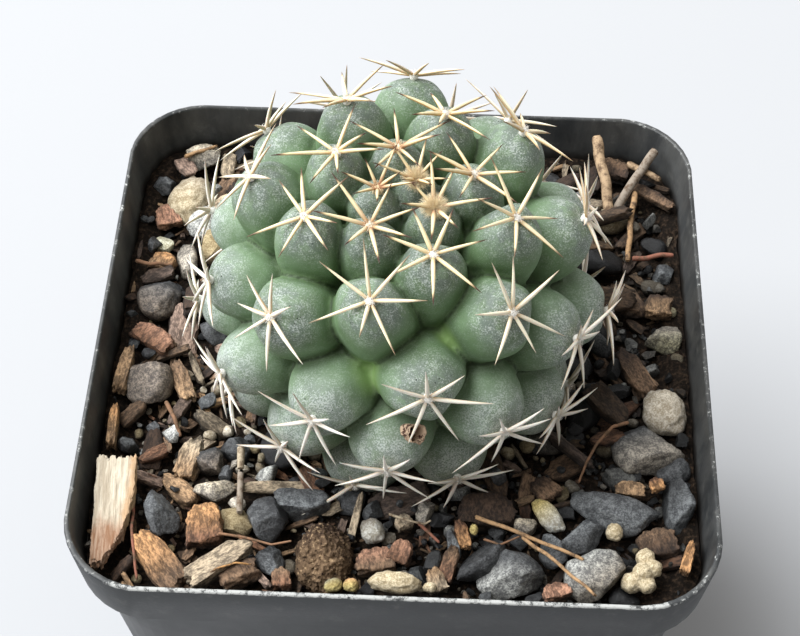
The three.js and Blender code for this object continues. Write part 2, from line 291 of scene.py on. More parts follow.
def own_value(place, name, output="Fac"):
    """A value that the piece's own vertices carry."""
    return place.node("Attribute", {"attribute_name": name}, {}, output)


outside = [
    (BASE_HALF - 0.6 * mm, 0),
    (BASE_HALF, 0.7 * mm),
    (BODY_HALF, BAND_FOOT - 0.5 * mm),
    (BODY_HALF + 0.25 * mm, BAND_FOOT),
    (BAND_HALF - 0.4 * mm, BAND_FOOT + 0.1 * mm),
    (BAND_HALF, BAND_FOOT + 0.6 * mm),
    (RIM_HALF, POT_HEIGHT - 0.25 * mm),
    (RIM_HALF - 0.06 * mm, POT_HEIGHT - 0.07 * mm),
]
inside = [
    (RIM_HALF - 0.15 * mm, POT_HEIGHT),
    (RIM_HALF - 0.38 * mm, POT_HEIGHT),
    (RIM_HALF - 0.48 * mm, POT_HEIGHT - 0.08 * mm),
    (RIM_HALF - 0.55 * mm, POT_HEIGHT - 0.3 * mm),
    (BAND_HALF - 0.7 * mm, BAND_FOOT + POT_WALL),
    (BODY_HALF - POT_WALL, BAND_FOOT + POT_WALL),
    (BASE_HALF - POT_WALL, POT_FLOOR),
]
pot = add_rounded_square("nursery_pot", outside[0][0], 0)
extrude_rows(outside + inside)
bpy.ops.mesh.primitive_cylinder_add(vertices=32, radius=DRAIN_RADIUS, depth=4 * POT_FLOOR)
drain = bpy.context.object
drain.name = "drain_cutter"
for axis in ("x", "y"):
    bpy.ops.object.modifier_add(type="ARRAY")
    array = drain.modifiers[-1]
    array.count = 2
    array.use_relative_offset = False
    array.use_constant_offset = True
    array.constant_offset_displace = [2 * DRAIN_REACH if axis == name else 0 for name in "xyz"]
apply_modifiers(drain)
drain.location = (-DRAIN_REACH, -DRAIN_REACH, 0)
bpy.context.view_layer.objects.active = pot
bpy.ops.object.modifier_add(type="BOOLEAN")
pot.modifiers[-1].operation = "DIFFERENCE"
pot.modifiers[-1].object = drain
apply_modifiers(pot)
bpy.data.objects.remove(drain)
heights = np.array([vertex.co.z for vertex in pot.data.vertices])
inner = np.zeros(len(heights), bool)
for _, height in inside:
    inner |= abs(heights - height) < SAME_HEIGHT
add_attribute(pot.data, "inner_face", inner)
smooth_but(pot, 35)

plastic, place = finish("dark_plastic", {"Specular IOR Level": 0.4})
height = place.along("Z")
scuffs = place.clouds(7 * mm, 5).between(0.35, 0.75)
scratches = place.stretched((1, 1, 0.18)).clouds(0.9 * mm, 6, 0.7).between(0.5, 0.7)
dust = place.clouds(2.2 * mm, 6, 0.7).between(0.52, 0.8) * height.between(50 * mm, 66 * mm) * 0.35
front = place.along("Y").between(*FRONT_SIDE)
worn = place.clouds(0.9 * mm, 6, 0.85) + front * 0.15
ragged = height + place.clouds(1.1 * mm, 5, 0.8) * 0.5 * mm
edge = ragged.between(*WEAR_HEIGHTS) * worn.between(0.55, 0.66) * 0.85
colour = (scuffs * 0.6 + scratches * 0.25).mix(PLASTIC, PLASTIC_SCUFFED)
inner_face = own_value(place, "inner_face")
stains = inner_face * place.stretched((1, 1, 0.3)).clouds(4 * mm, 6, 0.65).between(0.3, 0.7)
colour = (dust + stains * 0.25).mix(colour, PLASTIC_DUST)
film = inner_face * (height + place.clouds(2 * mm, 4) * 2 * mm).between(*FILM_HEIGHTS)
colour = (film * 0.9).mix(colour, SOIL_FILM)
edge.mix(colour, RIM_WORN).paint("Base Color")
(0.42 + scuffs * 0.14 + edge * 0.4).paint("Roughness")
grainy = place.clouds(0.35 * mm, 3) * 0.6 + place.clouds(3 * mm, 3)
grainy.emboss(0.25, 0.15 * mm)
pot.data.materials.append(plastic)
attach(pot, "root")
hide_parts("pot")

# The soil
# A lightly pressed mix of fine bark, peat and grit, nearly black between the stones that lie on it.
# It fills the pot, and banks up a little along the wall. It is drawn up as the pot is, and then made lumpy.

SOIL_TOP = 58.0 * mm
SOIL_GAP = 0.3 * mm
BANK_HALF = 34.2 * mm
BANK_RISE = 1.5 * mm
SOIL_DARK = (0.010, 0.007, 0.005, 1)
SOIL_BROWN = (0.085, 0.055, 0.036, 1)
SOIL_CRUMB = 1.0 * mm
SOIL_LUMP = 3.5 * mm
SOIL_RISE = 1.4 * mm
SOIL_LEVEL = 0.9


def add_rebuild(piece, voxel):
    """A modifier that rebuilds the active piece in small even faces."""
    bpy.ops.object.modifier_add(type="REMESH")
    piece.modifiers[-1].mode = "VOXEL"
    piece.modifiers[-1].voxel_size = voxel


def add_bumps(piece, size, rise, detail=2, level=0.5):
    """A modifier that raises bumps of a size and height on the active piece."""
    bumps = bpy.data.textures.new("bumps", "CLOUDS")
    bumps.noise_scale = size
    bumps.noise_depth = detail
    bpy.ops.object.modifier_add(type="DISPLACE")
    piece.modifiers[-1].texture = bumps
    piece.modifiers[-1].strength = rise
    piece.modifiers[-1].mid_level = level


wall = POT_WALL + SOIL_GAP
soil_rows = [
    (BASE_HALF - wall, POT_FLOOR + SOIL_GAP),
    (BODY_HALF - wall, SOIL_TOP - 0.5 * mm),
    (BANK_HALF, SOIL_TOP - 0.4 * mm),
    (BANK_HALF, SOIL_TOP + BANK_RISE),
    (BANK_HALF - 2.3 * mm, SOIL_TOP + BANK_RISE),
    (BANK_HALF - 3.7 * mm, SOIL_TOP),
]
soil = add_rounded_square("soil_bed", *soil_rows[0])
extrude_rows(soil_rows)
add_rebuild(soil, SOIL_CRUMB)
add_bumps(soil, SOIL_LUMP, SOIL_RISE, 3, SOIL_LEVEL)
apply_modifiers(soil)

earth, place = finish("damp_soil", {"Roughness": 0.95, "Specular IOR Level": 0.15})
crumbs = place.clouds(0.6 * mm, 6, 0.75)
crumbs.between(0.45, 0.75).mix(SOIL_DARK, SOIL_BROWN).paint("Base Color")
crumbs.emboss(0.8, 0.5 * mm)
soil.data.materials.append(earth)
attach(soil, "root")
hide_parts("soil")

# The spiral of areoles
# The plant adds one tubercle after another at its crown, each a fixed turn on from the one before.
# This works out where each one's tip and woolly cushion lie, how its spines face, and what presses it flat.

PLANT_PLACE = Vector((-0.2, 0.2, 72)) * mm
PLANT_LEAN = Matrix.Rotation(math.radians(4.8), 3, "X") @ Matrix.Rotation(math.radians(1.1), 3, "Y")
FIRST_TURN = 184.1
NEXT_TURN = 137.64
YOUNGEST = -1
OLDEST = 45
# Number of an areole, its distance from the plant's axis, and its height above the plant's middle, in
# millimetres.
AREOLE_PROFILE = [
    (-1, 1.6, 18.1),
    (4, 7.2, 18.6),
    (9, 11.8, 18.8),
    (15, 17.6, 15.0),
    (22, 20.7, 7.0),
    (30, 22.3, 1.8),
    (40, 20.5, -6.4),
    (46, 18.6, -11.0),
]
TUBERCLE_WIDTH = 5.1
YOUNG_WIDTH = 3.1
TUBERCLE_LENGTH = 1.5
TUBERCLE_FULLNESS = 2.5
SEAT_HEIGHT = 0.8 * mm
PRESS_DEPTH = 3.5 * mm
PRESS_RANGE = 15 * mm
PRESS_OVERLAP = 1.035
PRESSED = 9
FREE_SPREAD = 1.1
# The angle above the horizon at which an old tubercle and its star face, and how much more a young one does.
TUBERCLE_FACING = (4, 84)
STAR_FACING = (-4, 88)
# At what age a tubercle is wide, and it and its star face out, and how suddenly.
WIDE_AT = (9, 1.5)
TUBERCLE_OUT_AT = (19, 2.6)
STAR_OUT_AT = (15.5, 2)


def along_profile(number):
    """Radius and height of an areole, on a smooth curve through the profile's rows."""
    rows = AREOLE_PROFILE
    last = max(i for i in range(len(rows) - 1) if rows[i][0] <= number)
    before = rows[max(last - 1, 0)]
    start = rows[last]
    end = rows[last + 1]
    after = rows[min(last + 2, len(rows) - 1)]
    span = end[0] - start[0]
    t = (number - start[0]) / span
    point = []
    for k in (1, 2):
        rise = end[k] - start[k]
        slope_in = (end[k] - before[k]) / (end[0] - before[0]) * span
        slope_out = (after[k] - start[k]) / (after[0] - start[0]) * span
        if last == 0:
            slope_in = 1.5 * rise - 0.5 * slope_out
        if last == len(rows) - 2:
            slope_out = 1.5 * rise - 0.5 * slope_in
        curve = start[k] + t * slope_in + t * t * (3 * rise - 2 * slope_in - slope_out)
        point.append(curve + t**3 * (slope_in + slope_out - 2 * rise))
    return point


def outward_frame(direction, elevation):
    """A turn whose X runs round the stem, whose Y climbs to the crown and whose Z points out."""
    side = Vector((-math.sin(direction), math.cos(direction), 0))
    flat = math.cos(elevation)
    out = Vector((flat * math.cos(direction), flat * math.sin(direction), math.sin(elevation)))
    return PLANT_LEAN @ Matrix((side, out.cross(side), out)).transposed()


def youth(age, span, pace):
    """Falls from 1 at the crown to 0 on old tubercles."""
    return math.exp(-((age / span) ** pace))


class Areole:
    """One tubercle's place, turn and width, and the seat of its star."""

    def __init__(self, number):
        radius, height = along_profile(number)
        self.number = number
        self.age = max(number, 0)
        direction = math.radians(FIRST_TURN + NEXT_TURN * number)
        tip = Vector((radius * math.cos(direction), radius * math.sin(direction), height)) * mm
        self.tip = PLANT_PLACE + PLANT_LEAN @ tip
        narrower = (TUBERCLE_WIDTH - YOUNG_WIDTH) * youth(self.age, *WIDE_AT)
        self.width = (TUBERCLE_WIDTH - narrower) * mm
        facing = TUBERCLE_FACING[0] + TUBERCLE_FACING[1] * youth(self.age, *TUBERCLE_OUT_AT)
        self.turn = outward_frame(direction, math.radians(facing))
        facing = STAR_FACING[0] + STAR_FACING[1] * youth(self.age, *STAR_OUT_AT)
        self.star_turn = outward_frame(direction, math.radians(facing))
        self.outward = self.turn.col[2].copy()
        self.seat = self.tip + self.outward * SEAT_HEIGHT
        self.centre = self.tip - self.outward * self.width * TUBERCLE_LENGTH
        self.node = f"spine_star_{number + 2:02d}"

    def find_neighbours(self, others):
        """Notes the direction and half distance of each tubercle that presses against this one."""
        self.neighbours = []
        for other in others:
            offset = (other.tip - other.outward * PRESS_DEPTH) - (self.tip - self.outward * PRESS_DEPTH)
            x, y, _ = self.turn.transposed() @ offset
            if other is not self and offset.length < PRESS_RANGE:
                self.neighbours.append((math.atan2(y, x), PRESS_OVERLAP * math.hypot(x, y) / 2))

    def reach(self, around):
        """How far the tubercle reaches in directions round its axis. Its neighbours press it flat."""
        pressed = (FREE_SPREAD * self.width) ** -PRESSED
        for direction, half in self.neighbours:
            pressed = pressed + (np.maximum(np.cos(around - direction), 0) / half) ** PRESSED
        return pressed ** (-1 / PRESSED)

    def sink(self, points):
        """How far points lie outside the tubercle, or inside it where negative."""
        away = points - np.array(self.centre)
        local = away @ np.array(self.turn)
        across = np.hypot(local[:, 0], local[:, 1]) / self.reach(np.arctan2(local[:, 1], local[:, 0]))
        up = abs(local[:, 2]) / (self.width * TUBERCLE_LENGTH)
        fullness = (across**TUBERCLE_FULLNESS + up**TUBERCLE_FULLNESS) ** (-1 / TUBERCLE_FULLNESS)
        return np.linalg.norm(away, axis=1) * (1 - fullness)


areoles = [Areole(number) for number in range(YOUNGEST, OLDEST + 1)]
for areole in areoles:
    areole.find_neighbours(areoles)

# The cactus body
# One living stem with a root foot. Its tubercles are pressed flat where they meet, merged and then grooved.
# Its waxy grey-green skin has a white bloom. Painted shade darkens its creases and pits, and the sides of
# its tubercles, which are also greener. It is fresh green where it grew last, partly as painted light where
# light falls into the creases.

SKIN_VOXEL = 0.37 * mm
FIRST_SMOOTHING = 8
LAST_SMOOTHING = 4
SWELL_SIZE = 4 * mm
SWELL_RISE = 0.35 * mm
TIP_RAISE = 0.65 * mm
CREASE_CUT = 0.6 * mm
CREASE_WIDTH = 0.5 * mm
PIT_CUT = 0.25 * mm
PIT_WIDTH = 0.8 * mm
DIMPLE_DEPTH = 0.045
DIMPLE_RADIUS = 0.26
STEM_SIDES = 48
# Radius and height of the stem inside the tubercles, from the tip of the root up, in millimetres.
STEM_ROWS = [
    (2.0, -31),
    (2.5, -30),
    (5, -22),
    (10.5, -17),
    (14.2, -12),
    (14.8, -6.5),
    (15.6, 0),
    (15.0, 4.5),
    (12.6, 9.5),
    (8.5, 12.2),
    (3.0, 12.6),
]
SKIN_DEEP = (0.075, 0.125, 0.050, 1)
SKIN_GREEN = (0.148, 0.224, 0.126, 1)
# The sides of a tubercle: partly a greener skin colour, partly painted shade.
SKIN_SIDE_SHADE = (0.100, 0.192, 0.068, 1)
# Fresh skin, also used as painted light in the creases where light falls in.
SKIN_FRESH_AND_LIT = (0.27, 0.42, 0.14, 1)
# Painted shade for the creases and the pits.
SKIN_CREASE_SHADE = (0.014, 0.028, 0.007, 1)
SKIN_SLATE = (0.096, 0.125, 0.103, 1)
SKIN_BLOOM = (0.53, 0.60, 0.55, 1)
SKIN_WAX = (0.74, 0.79, 0.75, 1)
SKIN_SPECK = (0.012, 0.016, 0.010, 1)
# Places where the skin is fresh and where light falls into the creases, painted bright yellow-green as fresh
# skin and as painted light, and how far it reaches there.
FRESH_AND_LIT_SPOTS = [((-2.6, -15.8, 78.2), 3.4), ((5.2, -13.6, 81.7), 2.2), ((-4.8, -20.0, 76.4), 1.8)]

bpy.ops.mesh.primitive_uv_sphere_add(segments=48, ring_count=32, radius=1)
egg = bpy.context.object
egg.name = "tubercle_model"
for vertex in egg.data.vertices:
    x, y, z = vertex.co
    across = math.hypot(x, y)
    fullness = (across**TUBERCLE_FULLNESS + abs(z) ** TUBERCLE_FULLNESS) ** (-1 / TUBERCLE_FULLNESS)
    vertex.co *= fullness
    if z > 0:
        vertex.co.z -= DIMPLE_DEPTH * math.exp(-((across * fullness / DIMPLE_RADIUS) ** 2))


def place_copy(model, matrix):
    """A copy of a model with its own mesh, moved to its place."""
    copy = model.copy()
    copy.data = model.data.copy()
    copy.data.transform(matrix)
    bpy.context.collection.objects.link(copy)
    return copy


def draw_up(name, sides, rows):
    """A round form that is drawn up from a circle, through rows of radius and height."""
    bpy.ops.mesh.primitive_circle_add(vertices=sides, radius=rows[0][0], fill_type="NGON")
    piece = bpy.context.object
    piece.name = name
    piece.data.transform(Matrix.Translation((0, 0, rows[0][1])))
    bpy.ops.object.mode_set(mode="EDIT")
    bpy.ops.mesh.select_all(action="SELECT")
    extrude_rows(rows)
    return piece


def join(pieces, name):
    """Joins pieces into one object of a name, and selects it alone."""
    bpy.ops.object.select_all(action="DESELECT")
    for piece in pieces:
        piece.select_set(True)
    bpy.context.view_layer.objects.active = pieces[0]
    bpy.ops.object.join()
    pieces[0].name = name
    return pieces[0]


def grow_together(piece, smoothing):
    """Rebuilds a piece as one skin, and smooths it some times."""
    add_rebuild(piece, SKIN_VOXEL)
    bpy.ops.object.modifier_add(type="SMOOTH")
    piece.modifiers[-1].iterations = smoothing


stem = draw_up("stem_model", STEM_SIDES, [(radius * mm, height * mm) for radius, height in STEM_ROWS])
stem.data.transform(Matrix.Translation(PLANT_PLACE) @ PLANT_LEAN.to_4x4())
lumps = [stem]
for areole in areoles:
    length = areole.width * TUBERCLE_LENGTH + TIP_RAISE
    size = Matrix.Diagonal((1, 1, length, 1))
    lump = place_copy(egg, Matrix.Identity(4))
    for vertex in lump.data.vertices:
        vertex.co.xy *= float(areole.reach(math.atan2(vertex.co.y, vertex.co.x)))
    lump.data.transform(Matrix.Translation(areole.centre) @ areole.turn.to_4x4() @ size)
    lumps.append(lump)
bpy.data.objects.remove(egg)
body = join(lumps, "cactus_skin")
grow_together(body, FIRST_SMOOTHING)
add_bumps(body, SWELL_SIZE, SWELL_RISE)
apply_modifiers(body)


def points_of(mesh):
    flat = np.empty(3 * len(mesh.vertices), np.float32)
    mesh.vertices.foreach_get("co", flat)
    return flat.reshape(-1, 3).astype(float)


def measure(points):
    """The tubercle that owns each point, and how much farther off the second and the third are."""
    nearest = np.full((3, len(points)), np.inf)
    owner = np.zeros(len(points), int)
    for index, areole in enumerate(areoles):
        distance = areole.sink(points)
        owner[distance < nearest[0]] = index
        nearest = np.sort(np.vstack([nearest, distance]), axis=0)[:3]
    return owner, nearest[1] - nearest[0], nearest[2] - nearest[0]


points = points_of(body.data)
_, to_second, to_third = measure(points)
normals = np.empty(points.size, np.float32)
body.data.vertices.foreach_get("normal", normals)
groove = CREASE_CUT * np.exp(-((to_second / CREASE_WIDTH) ** 2))
groove += PIT_CUT * np.exp(-((to_third / PIT_WIDTH) ** 2))
points -= normals.reshape(-1, 3) * groove[:, None]
body.data.vertices.foreach_set("co", points.astype(np.float32).ravel())
body.data.update()
grow_together(body, LAST_SMOOTHING)
apply_modifiers(body)
bpy.ops.object.shade_smooth()
points = points_of(body.data)
owner, to_second, to_third = measure(points)
seats = np.array([areole.seat for areole in areoles])
add_attribute(body.data, "crease", to_second / mm)
add_attribute(body.data, "pit", to_third / mm)
add_attribute(body.data, "age", owner + YOUNGEST)
add_attribute(body.data, "from_seat", np.linalg.norm(points - seats[owner], axis=1) / mm)

skin_constants = {
    "Specular IOR Level": 0.35,
    "Subsurface Weight": 0.03,
    "Subsurface Scale": 1 * mm,
    "Subsurface Radius": (1, 1.6, 0.6),
}
skin, place = finish("waxy_skin", skin_constants)
to_neighbour = own_value(place, "crease")
to_third = own_value(place, "pit")
from_seat = own_value(place, "from_seat")
age = own_value(place, "age")
old = age.between(12, 34)
patches = place.clouds(3.4 * mm, 4)
blotches = place.clouds(1.5 * mm, 5, 0.62)
grains = place.clouds(0.16 * mm, 2, 0.6)
upper = from_seat.between(6.2, 2.6)
green = patches.between(0.38, 0.62).mix(SKIN_DEEP, SKIN_GREEN)
slate = blotches.between(0.36, 0.58) * upper * 0.9
green = slate.mix(green, SKIN_SLATE)
# The sides away from the star turn darker and greener: partly the skin's own colour, partly painted shade.
green = (0.75 - upper * 0.75).mix(green, SKIN_SIDE_SHADE)
bloom = (0.13 + old * 0.25) * (0.4 + place.clouds(2.6 * mm, 3)) * (0.5 + upper * 0.5)
green = bloom.mix(green, SKIN_BLOOM)
dusty = grains * 0.6 + place.clouds(1.6 * mm, 5, 0.7) * 0.4
frost = dusty.between(0.49 - old * 0.03, 0.62 - old * 0.03) * (0.25 + upper * 0.75)
green = (frost * (0.42 + old * 0.08)).mix(green, SKIN_WAX)
pores = grains.between(0.44, 0.3) * (0.2 + upper * 0.6)
green = (pores * 0.5).mix(green, SKIN_DEEP)
# Fresh skin and painted light: bright yellow-green in the creases and at the spots, which lifts the crease
# shade.
fresh_and_lit = to_neighbour.between(1.8, 0.2) * 0.12
for spot, radius in FRESH_AND_LIT_SPOTS:
    spot = tuple(value * mm for value in spot)
    away = place.node("VectorMath", {"operation": "DISTANCE"}, {0: place, 1: spot}, "Value")
    fresh_and_lit = fresh_and_lit + away.between(radius * mm, radius * 0.25 * mm)
# Painted shade: the creases and the pits where three tubercles meet are darkened, less at the fresh spots.
shaded = to_neighbour.between(1.9, 0.1) * 0.55 + to_third.between(1.7, 0.2) * 0.4
green = (shaded * (1 - fresh_and_lit * 0.9)).mix(green, SKIN_CREASE_SHADE)
green = (fresh_and_lit * from_seat.between(4.0, 6.4) * 0.7).mix(green, SKIN_FRESH_AND_LIT)
# Painted shade: a narrow dark line along each crease.
green = (to_neighbour.between(0.55, 0.05) * (0.85 - fresh_and_lit * 0.75)).mix(green, SKIN_CREASE_SHADE)
cells = place.node("TexVoronoi", {}, {"Vector": place, "Scale": 1 / (0.55 * mm)}, "Distance")
dots = cells.between(0.2, 0.12)
ring = from_seat.between(1.0, 1.6) * from_seat.between(4.2, 2.4)
specks = dots * ring * place.clouds(0.9 * mm, 2).between(0.5, 0.62)
green = specks.mix(green, SKIN_SPECK)
green.paint("Base Color")
(0.62 - bloom * 0.1).paint("Roughness")
(grains * 0.5 + blotches).emboss(0.4, 0.12 * mm)
body.data.materials.append(skin)
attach(body, "root")
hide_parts("cactus_body")

# The spines
# Each areole bears a star of seven or eight stiff needles, ivory with amber flanks. Their undersides, which
# face
# the skin, are darker: partly their own amber and tan, partly painted shade. Young ones have dark tips, and
# old ones are chalky. One round needle is made, thickest at a quarter of its length, and copies of it stand
# where the solids' needles do.

NEEDLE_LENGTH = 6 * mm
NEEDLE_SIDES = 8
# Radius in millimetres, and the share of the length at which it is reached.
NEEDLE_ROWS = [
    (0.15, 0.0),
    (0.23, 0.09),
    (0.265, 0.25),
    (0.24, 0.45),
    (0.175, 0.68),
    (0.1, 0.87),
    (0.045, 0.96),
    (0.01, 1.0),
]
NEEDLE_BOW = 0.16 * mm
NEEDLE_THICKNESS = (0.74, 0.94)
YOUNG_THICKNESS = 0.85
TIP_REACH = 2.6 * mm
IVORY = (0.88, 0.80, 0.62, 1)
YOUNG_IVORY = (0.86, 0.70, 0.38, 1)
CHALK = (0.86, 0.82, 0.74, 1)
AMBER = (0.58, 0.36, 0.13, 1)
BASE_RED = (0.34, 0.13, 0.07, 1)
# The tan of old, dry needles, also used as painted shade on their undersides.
DRY_TAN_AND_SHADE = (0.58, 0.46, 0.33, 1)
NEEDLE_TIP = (0.060, 0.020, 0.012, 1)

needle_rows = [(radius * mm, share * NEEDLE_LENGTH) for radius, share in NEEDLE_ROWS]
needle = draw_up("needle_model", NEEDLE_SIDES, needle_rows)
grain = needle.data.attributes.new("grain", "FLOAT_VECTOR", "POINT")
for vertex, entry in zip(needle.data.vertices, grain.data):
    share = vertex.co.z / NEEDLE_LENGTH
    around = math.atan2(vertex.co.y, vertex.co.x)
    entry.vector = (math.cos(around), math.sin(around), share)
    vertex.co.x += NEEDLE_BOW * math.sin(math.pi * share)
bpy.ops.object.shade_smooth()

spine_constants = {"Specular IOR Level": 0.4, "Subsurface Weight": 0.08, "Subsurface Scale": 0.5 * mm}
spine_finish, place = finish("ivory_spines", spine_constants)
grain = own_value(place, "grain", "Vector")
star_number = own_value(place, "star")
share = grain.along("Z")
upper = grain.along("X")
shifted = grain.node("CombineXYZ", {}, {0: star_number * 7.3, 1: star_number * 3.1, 2: 0.0})
threads = grain.node("VectorMath", {"operation": "MULTIPLY_ADD"}, {0: grain, 1: (1.2, 1.2, 0.9), 2: shifted})
streaks = threads.clouds(0.9, 4, 0.65)
old = star_number.between(9, 26)
# The underside of a needle, which faces the skin, turns amber: partly its own colour, partly painted shade.
under = (upper * -0.26 + streaks).between(0.38, 0.6)
young = star_number.between(18, 5)
colour = (young * 0.7).mix(IVORY, YOUNG_IVORY)
colour = (under * (0.75 + young * 0.25)).mix(colour, AMBER)
# Old needles turn tan in streaks, and more on their underside as painted shade.
chalky = (upper * -0.2 + streaks).between(0.4, 0.68).mix(CHALK, DRY_TAN_AND_SHADE)
colour = old.mix(colour, chalky)
colour = (share.between(0.24, 0.02) * (0.8 - old * 0.45)).mix(colour, AMBER)
colour = (share.between(0.45, 0.03) * star_number.between(6, 0.5) * 0.95).mix(colour, BASE_RED)
colour = (share.between(0.62, 0.98) * young * 0.6).mix(colour, AMBER)
tip = (share + streaks * 0.2).between(0.84, 1.0) * (0.25 + young * 0.75)
tip.mix(colour, NEEDLE_TIP).paint("Base Color")
(0.42 + old * 0.25).paint("Roughness")
streaks.emboss(0.2, 0.05 * mm)
needle.data.materials.append(spine_finish)

draw = random.Random(3)
needle_lines = []
for areole in areoles:
    corners = np.unique(np.round(points_of(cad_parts[areole.node].data), 6), axis=0)
    tips = corners[np.linalg.norm(corners - np.array(areole.seat), axis=1) > TIP_REACH]
    needles = []
    for tip in tips:
        line = Vector(tip) - areole.seat
        thickness = draw.uniform(*NEEDLE_THICKNESS) * (YOUNG_THICKNESS if areole.number < 1 else 1)
        size = Matrix.Diagonal((thickness, thickness, line.length / NEEDLE_LENGTH, 1))
        along = line.normalized()
        upper = areole.star_turn.col[2]
        upper = (upper - along * along.dot(upper)).normalized()
        turn = Matrix((upper, along.cross(upper), along)).transposed().to_4x4()
        needles.append(place_copy(needle, Matrix.Translation(areole.seat) @ turn @ size))
        needle_lines.append((areole.seat, Vector(tip)))
    star = join(needles, areole.node.replace("spine_star", "needles"))
    add_attribute(star.data, "star", np.full(len(star.data.vertices), areole.number))
    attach(star, "root")
    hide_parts(areole.node)
bpy.data.objects.remove(needle)

# Wool
# Each star grows out of a small cushion of white felt, and the youngest in the crown bear loose cream wool.
# One curled hair is made, two tufts are built from its copies, and every areole gets a copy of one.

# Radius in millimetres, and the share of the length at which it is reached.
HAIR_ROWS = [(0.024, 0.0), (0.022, 0.4), (0.016, 0.75), (0.006, 1.0)]
HAIR_LENGTH = 1 * mm
HAIR_CURL = 0.4 * mm
HAIR_SIZES = (0.6, 1.15)
# How far the hairs at a cushion's edge lean out, in radians, and how unevenly.
HAIR_LEAN = 1.45
HAIR_STRAY = 0.35
FULL_TURN = 6.28
FELT = {
    "count": 90,
    "spread": 0.66 * mm,
    "rise": 0.36 * mm,
    "length": 0.36 * mm,
    "thickness": 1.0,
    "seed": 5,
}
CROWN_WOOL = {
    "count": 1800,
    "spread": 1.0 * mm,
    "rise": 0.5 * mm,
    "length": 0.9 * mm,
    "thickness": 0.5,
    "seed": 6,
}
CROWN_NUMBERS = (-1, 1)
CUSHION_DEPTH = 0.9 * mm
# Size of an old tuft, how much larger the youngest is, and the age by which most of that is gone.
OLD_TUFT = 0.8
YOUNG_EXTRA = 0.2
TUFT_AGE = 5
TUFT_ROLL = 2.4
FELT_LIFT = 0.06 * mm
FELT_WHITE = (0.88, 0.85, 0.79, 1)
CROWN_CREAM = (0.96, 0.86, 0.63, 1)
CROWN_STRAW = (0.88, 0.72, 0.46, 1)
CROWN_RUST = (0.42, 0.18, 0.08, 1)

hair = draw_up("hair_model", 3, [(radius * mm, share * HAIR_LENGTH) for radius, share in HAIR_ROWS])
for vertex in hair.data.vertices:
    share = vertex.co.z / HAIR_LENGTH
    vertex.co.x += HAIR_CURL * math.sin(2.4 * share)
    vertex.co.y += 0.5 * HAIR_CURL * (1 - math.cos(3 * share))
bpy.ops.object.shade_smooth()


def add_tuft(name, count, spread, rise, length, thickness, seed):
    """Hairs that stand out of a round cushion, which reaches down to the skin."""
    draw = random.Random(seed)
    bpy.ops.mesh.primitive_ico_sphere_add(subdivisions=2, radius=spread)
    cushion = bpy.context.object
    for vertex in cushion.data.vertices:
        vertex.co.z *= (rise if vertex.co.z > 0 else CUSHION_DEPTH) / spread
    hairs = [cushion]
    for _ in range(count):
        around = draw.uniform(0, 2 * math.pi)
        reach = math.sqrt(draw.random())
        lean = reach * HAIR_LEAN + draw.gauss(0, HAIR_STRAY)
        tilt = Matrix.Rotation(around, 4, "Z") @ Matrix.Rotation(lean, 4, "Y")
        out = 0.85 * spread * reach
        height = 0.8 * rise * math.sqrt(1 - 0.7 * reach * reach)
        root = Vector((out * math.cos(around), out * math.sin(around), height))
        size = length * draw.uniform(*HAIR_SIZES) / HAIR_LENGTH
        roll = Matrix.Rotation(draw.uniform(0, FULL_TURN), 4, "Z")
        stretch = Matrix.Diagonal((thickness, thickness, size, 1))
        hairs.append(place_copy(hair, Matrix.Translation(root) @ tilt @ roll @ stretch))
    return join(hairs, name)


felt_tuft = add_tuft("felt_model", **FELT)
crown_tuft = add_tuft("crown_wool_model", **CROWN_WOOL)
bpy.data.objects.remove(hair)
felt_finish, place = finish("woolly_felt", {"Roughness": 0.95, "Specular IOR Level": 0.1})
age = own_value(place, "star")
from_seat = own_value(place, "from_seat")
tangle = place.clouds(0.25 * mm, 4, 0.7).between(0.42, 0.6) * 0.5
depth = (from_seat.between(1.5, 0.7) * 0.7 + tangle).mix(CROWN_CREAM, CROWN_STRAW)
wool = age.between(5, 1).mix(FELT_WHITE, depth)
core = from_seat.between(1.0, 0.2) * age.between(7, 0) * place.clouds(0.5 * mm, 3).between(0.45, 0.6)
(core * 0.8).mix(wool, CROWN_RUST).paint("Base Color")
tufts = []
for areole in areoles:
    woolly = areole.number in CROWN_NUMBERS
    size = 1.0 if woolly else OLD_TUFT + YOUNG_EXTRA * math.exp(-areole.age / TUFT_AGE)
    roll = Matrix.Rotation(TUFT_ROLL * areole.number, 4, "Z")
    turn = areole.turn.to_4x4() @ roll @ Matrix.Scale(size, 4)
    foot = areole.seat + areole.outward * (0 if woolly else FELT_LIFT)
    tuft = place_copy(crown_tuft if woolly else felt_tuft, Matrix.Translation(foot) @ turn)
    add_attribute(tuft.data, "star", np.full(len(tuft.data.vertices), areole.number))
    reach = np.linalg.norm(points_of(tuft.data) - np.array(areole.seat), axis=1)
    add_attribute(tuft.data, "from_seat", reach / mm)
    tufts.append(tuft)
bpy.data.objects.remove(felt_tuft)
bpy.data.objects.remove(crown_tuft)
felt = join(tufts, "areole_wool")
felt.data.materials.append(felt_finish)
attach(felt, "root")

# The dried flower
# The papery brown cup of one withered flower, which is stuck in a crease at the front.
# A short tube is drawn up from a circle, opened, crumpled and given the thickness of paper.

FLOWER_PLACE = Vector((0.9, -20.0, 74.0)) * mm
FLOWER_FACING = Vector((0.62, -0.55, 0.56))
FLOWER_SIDES = 22
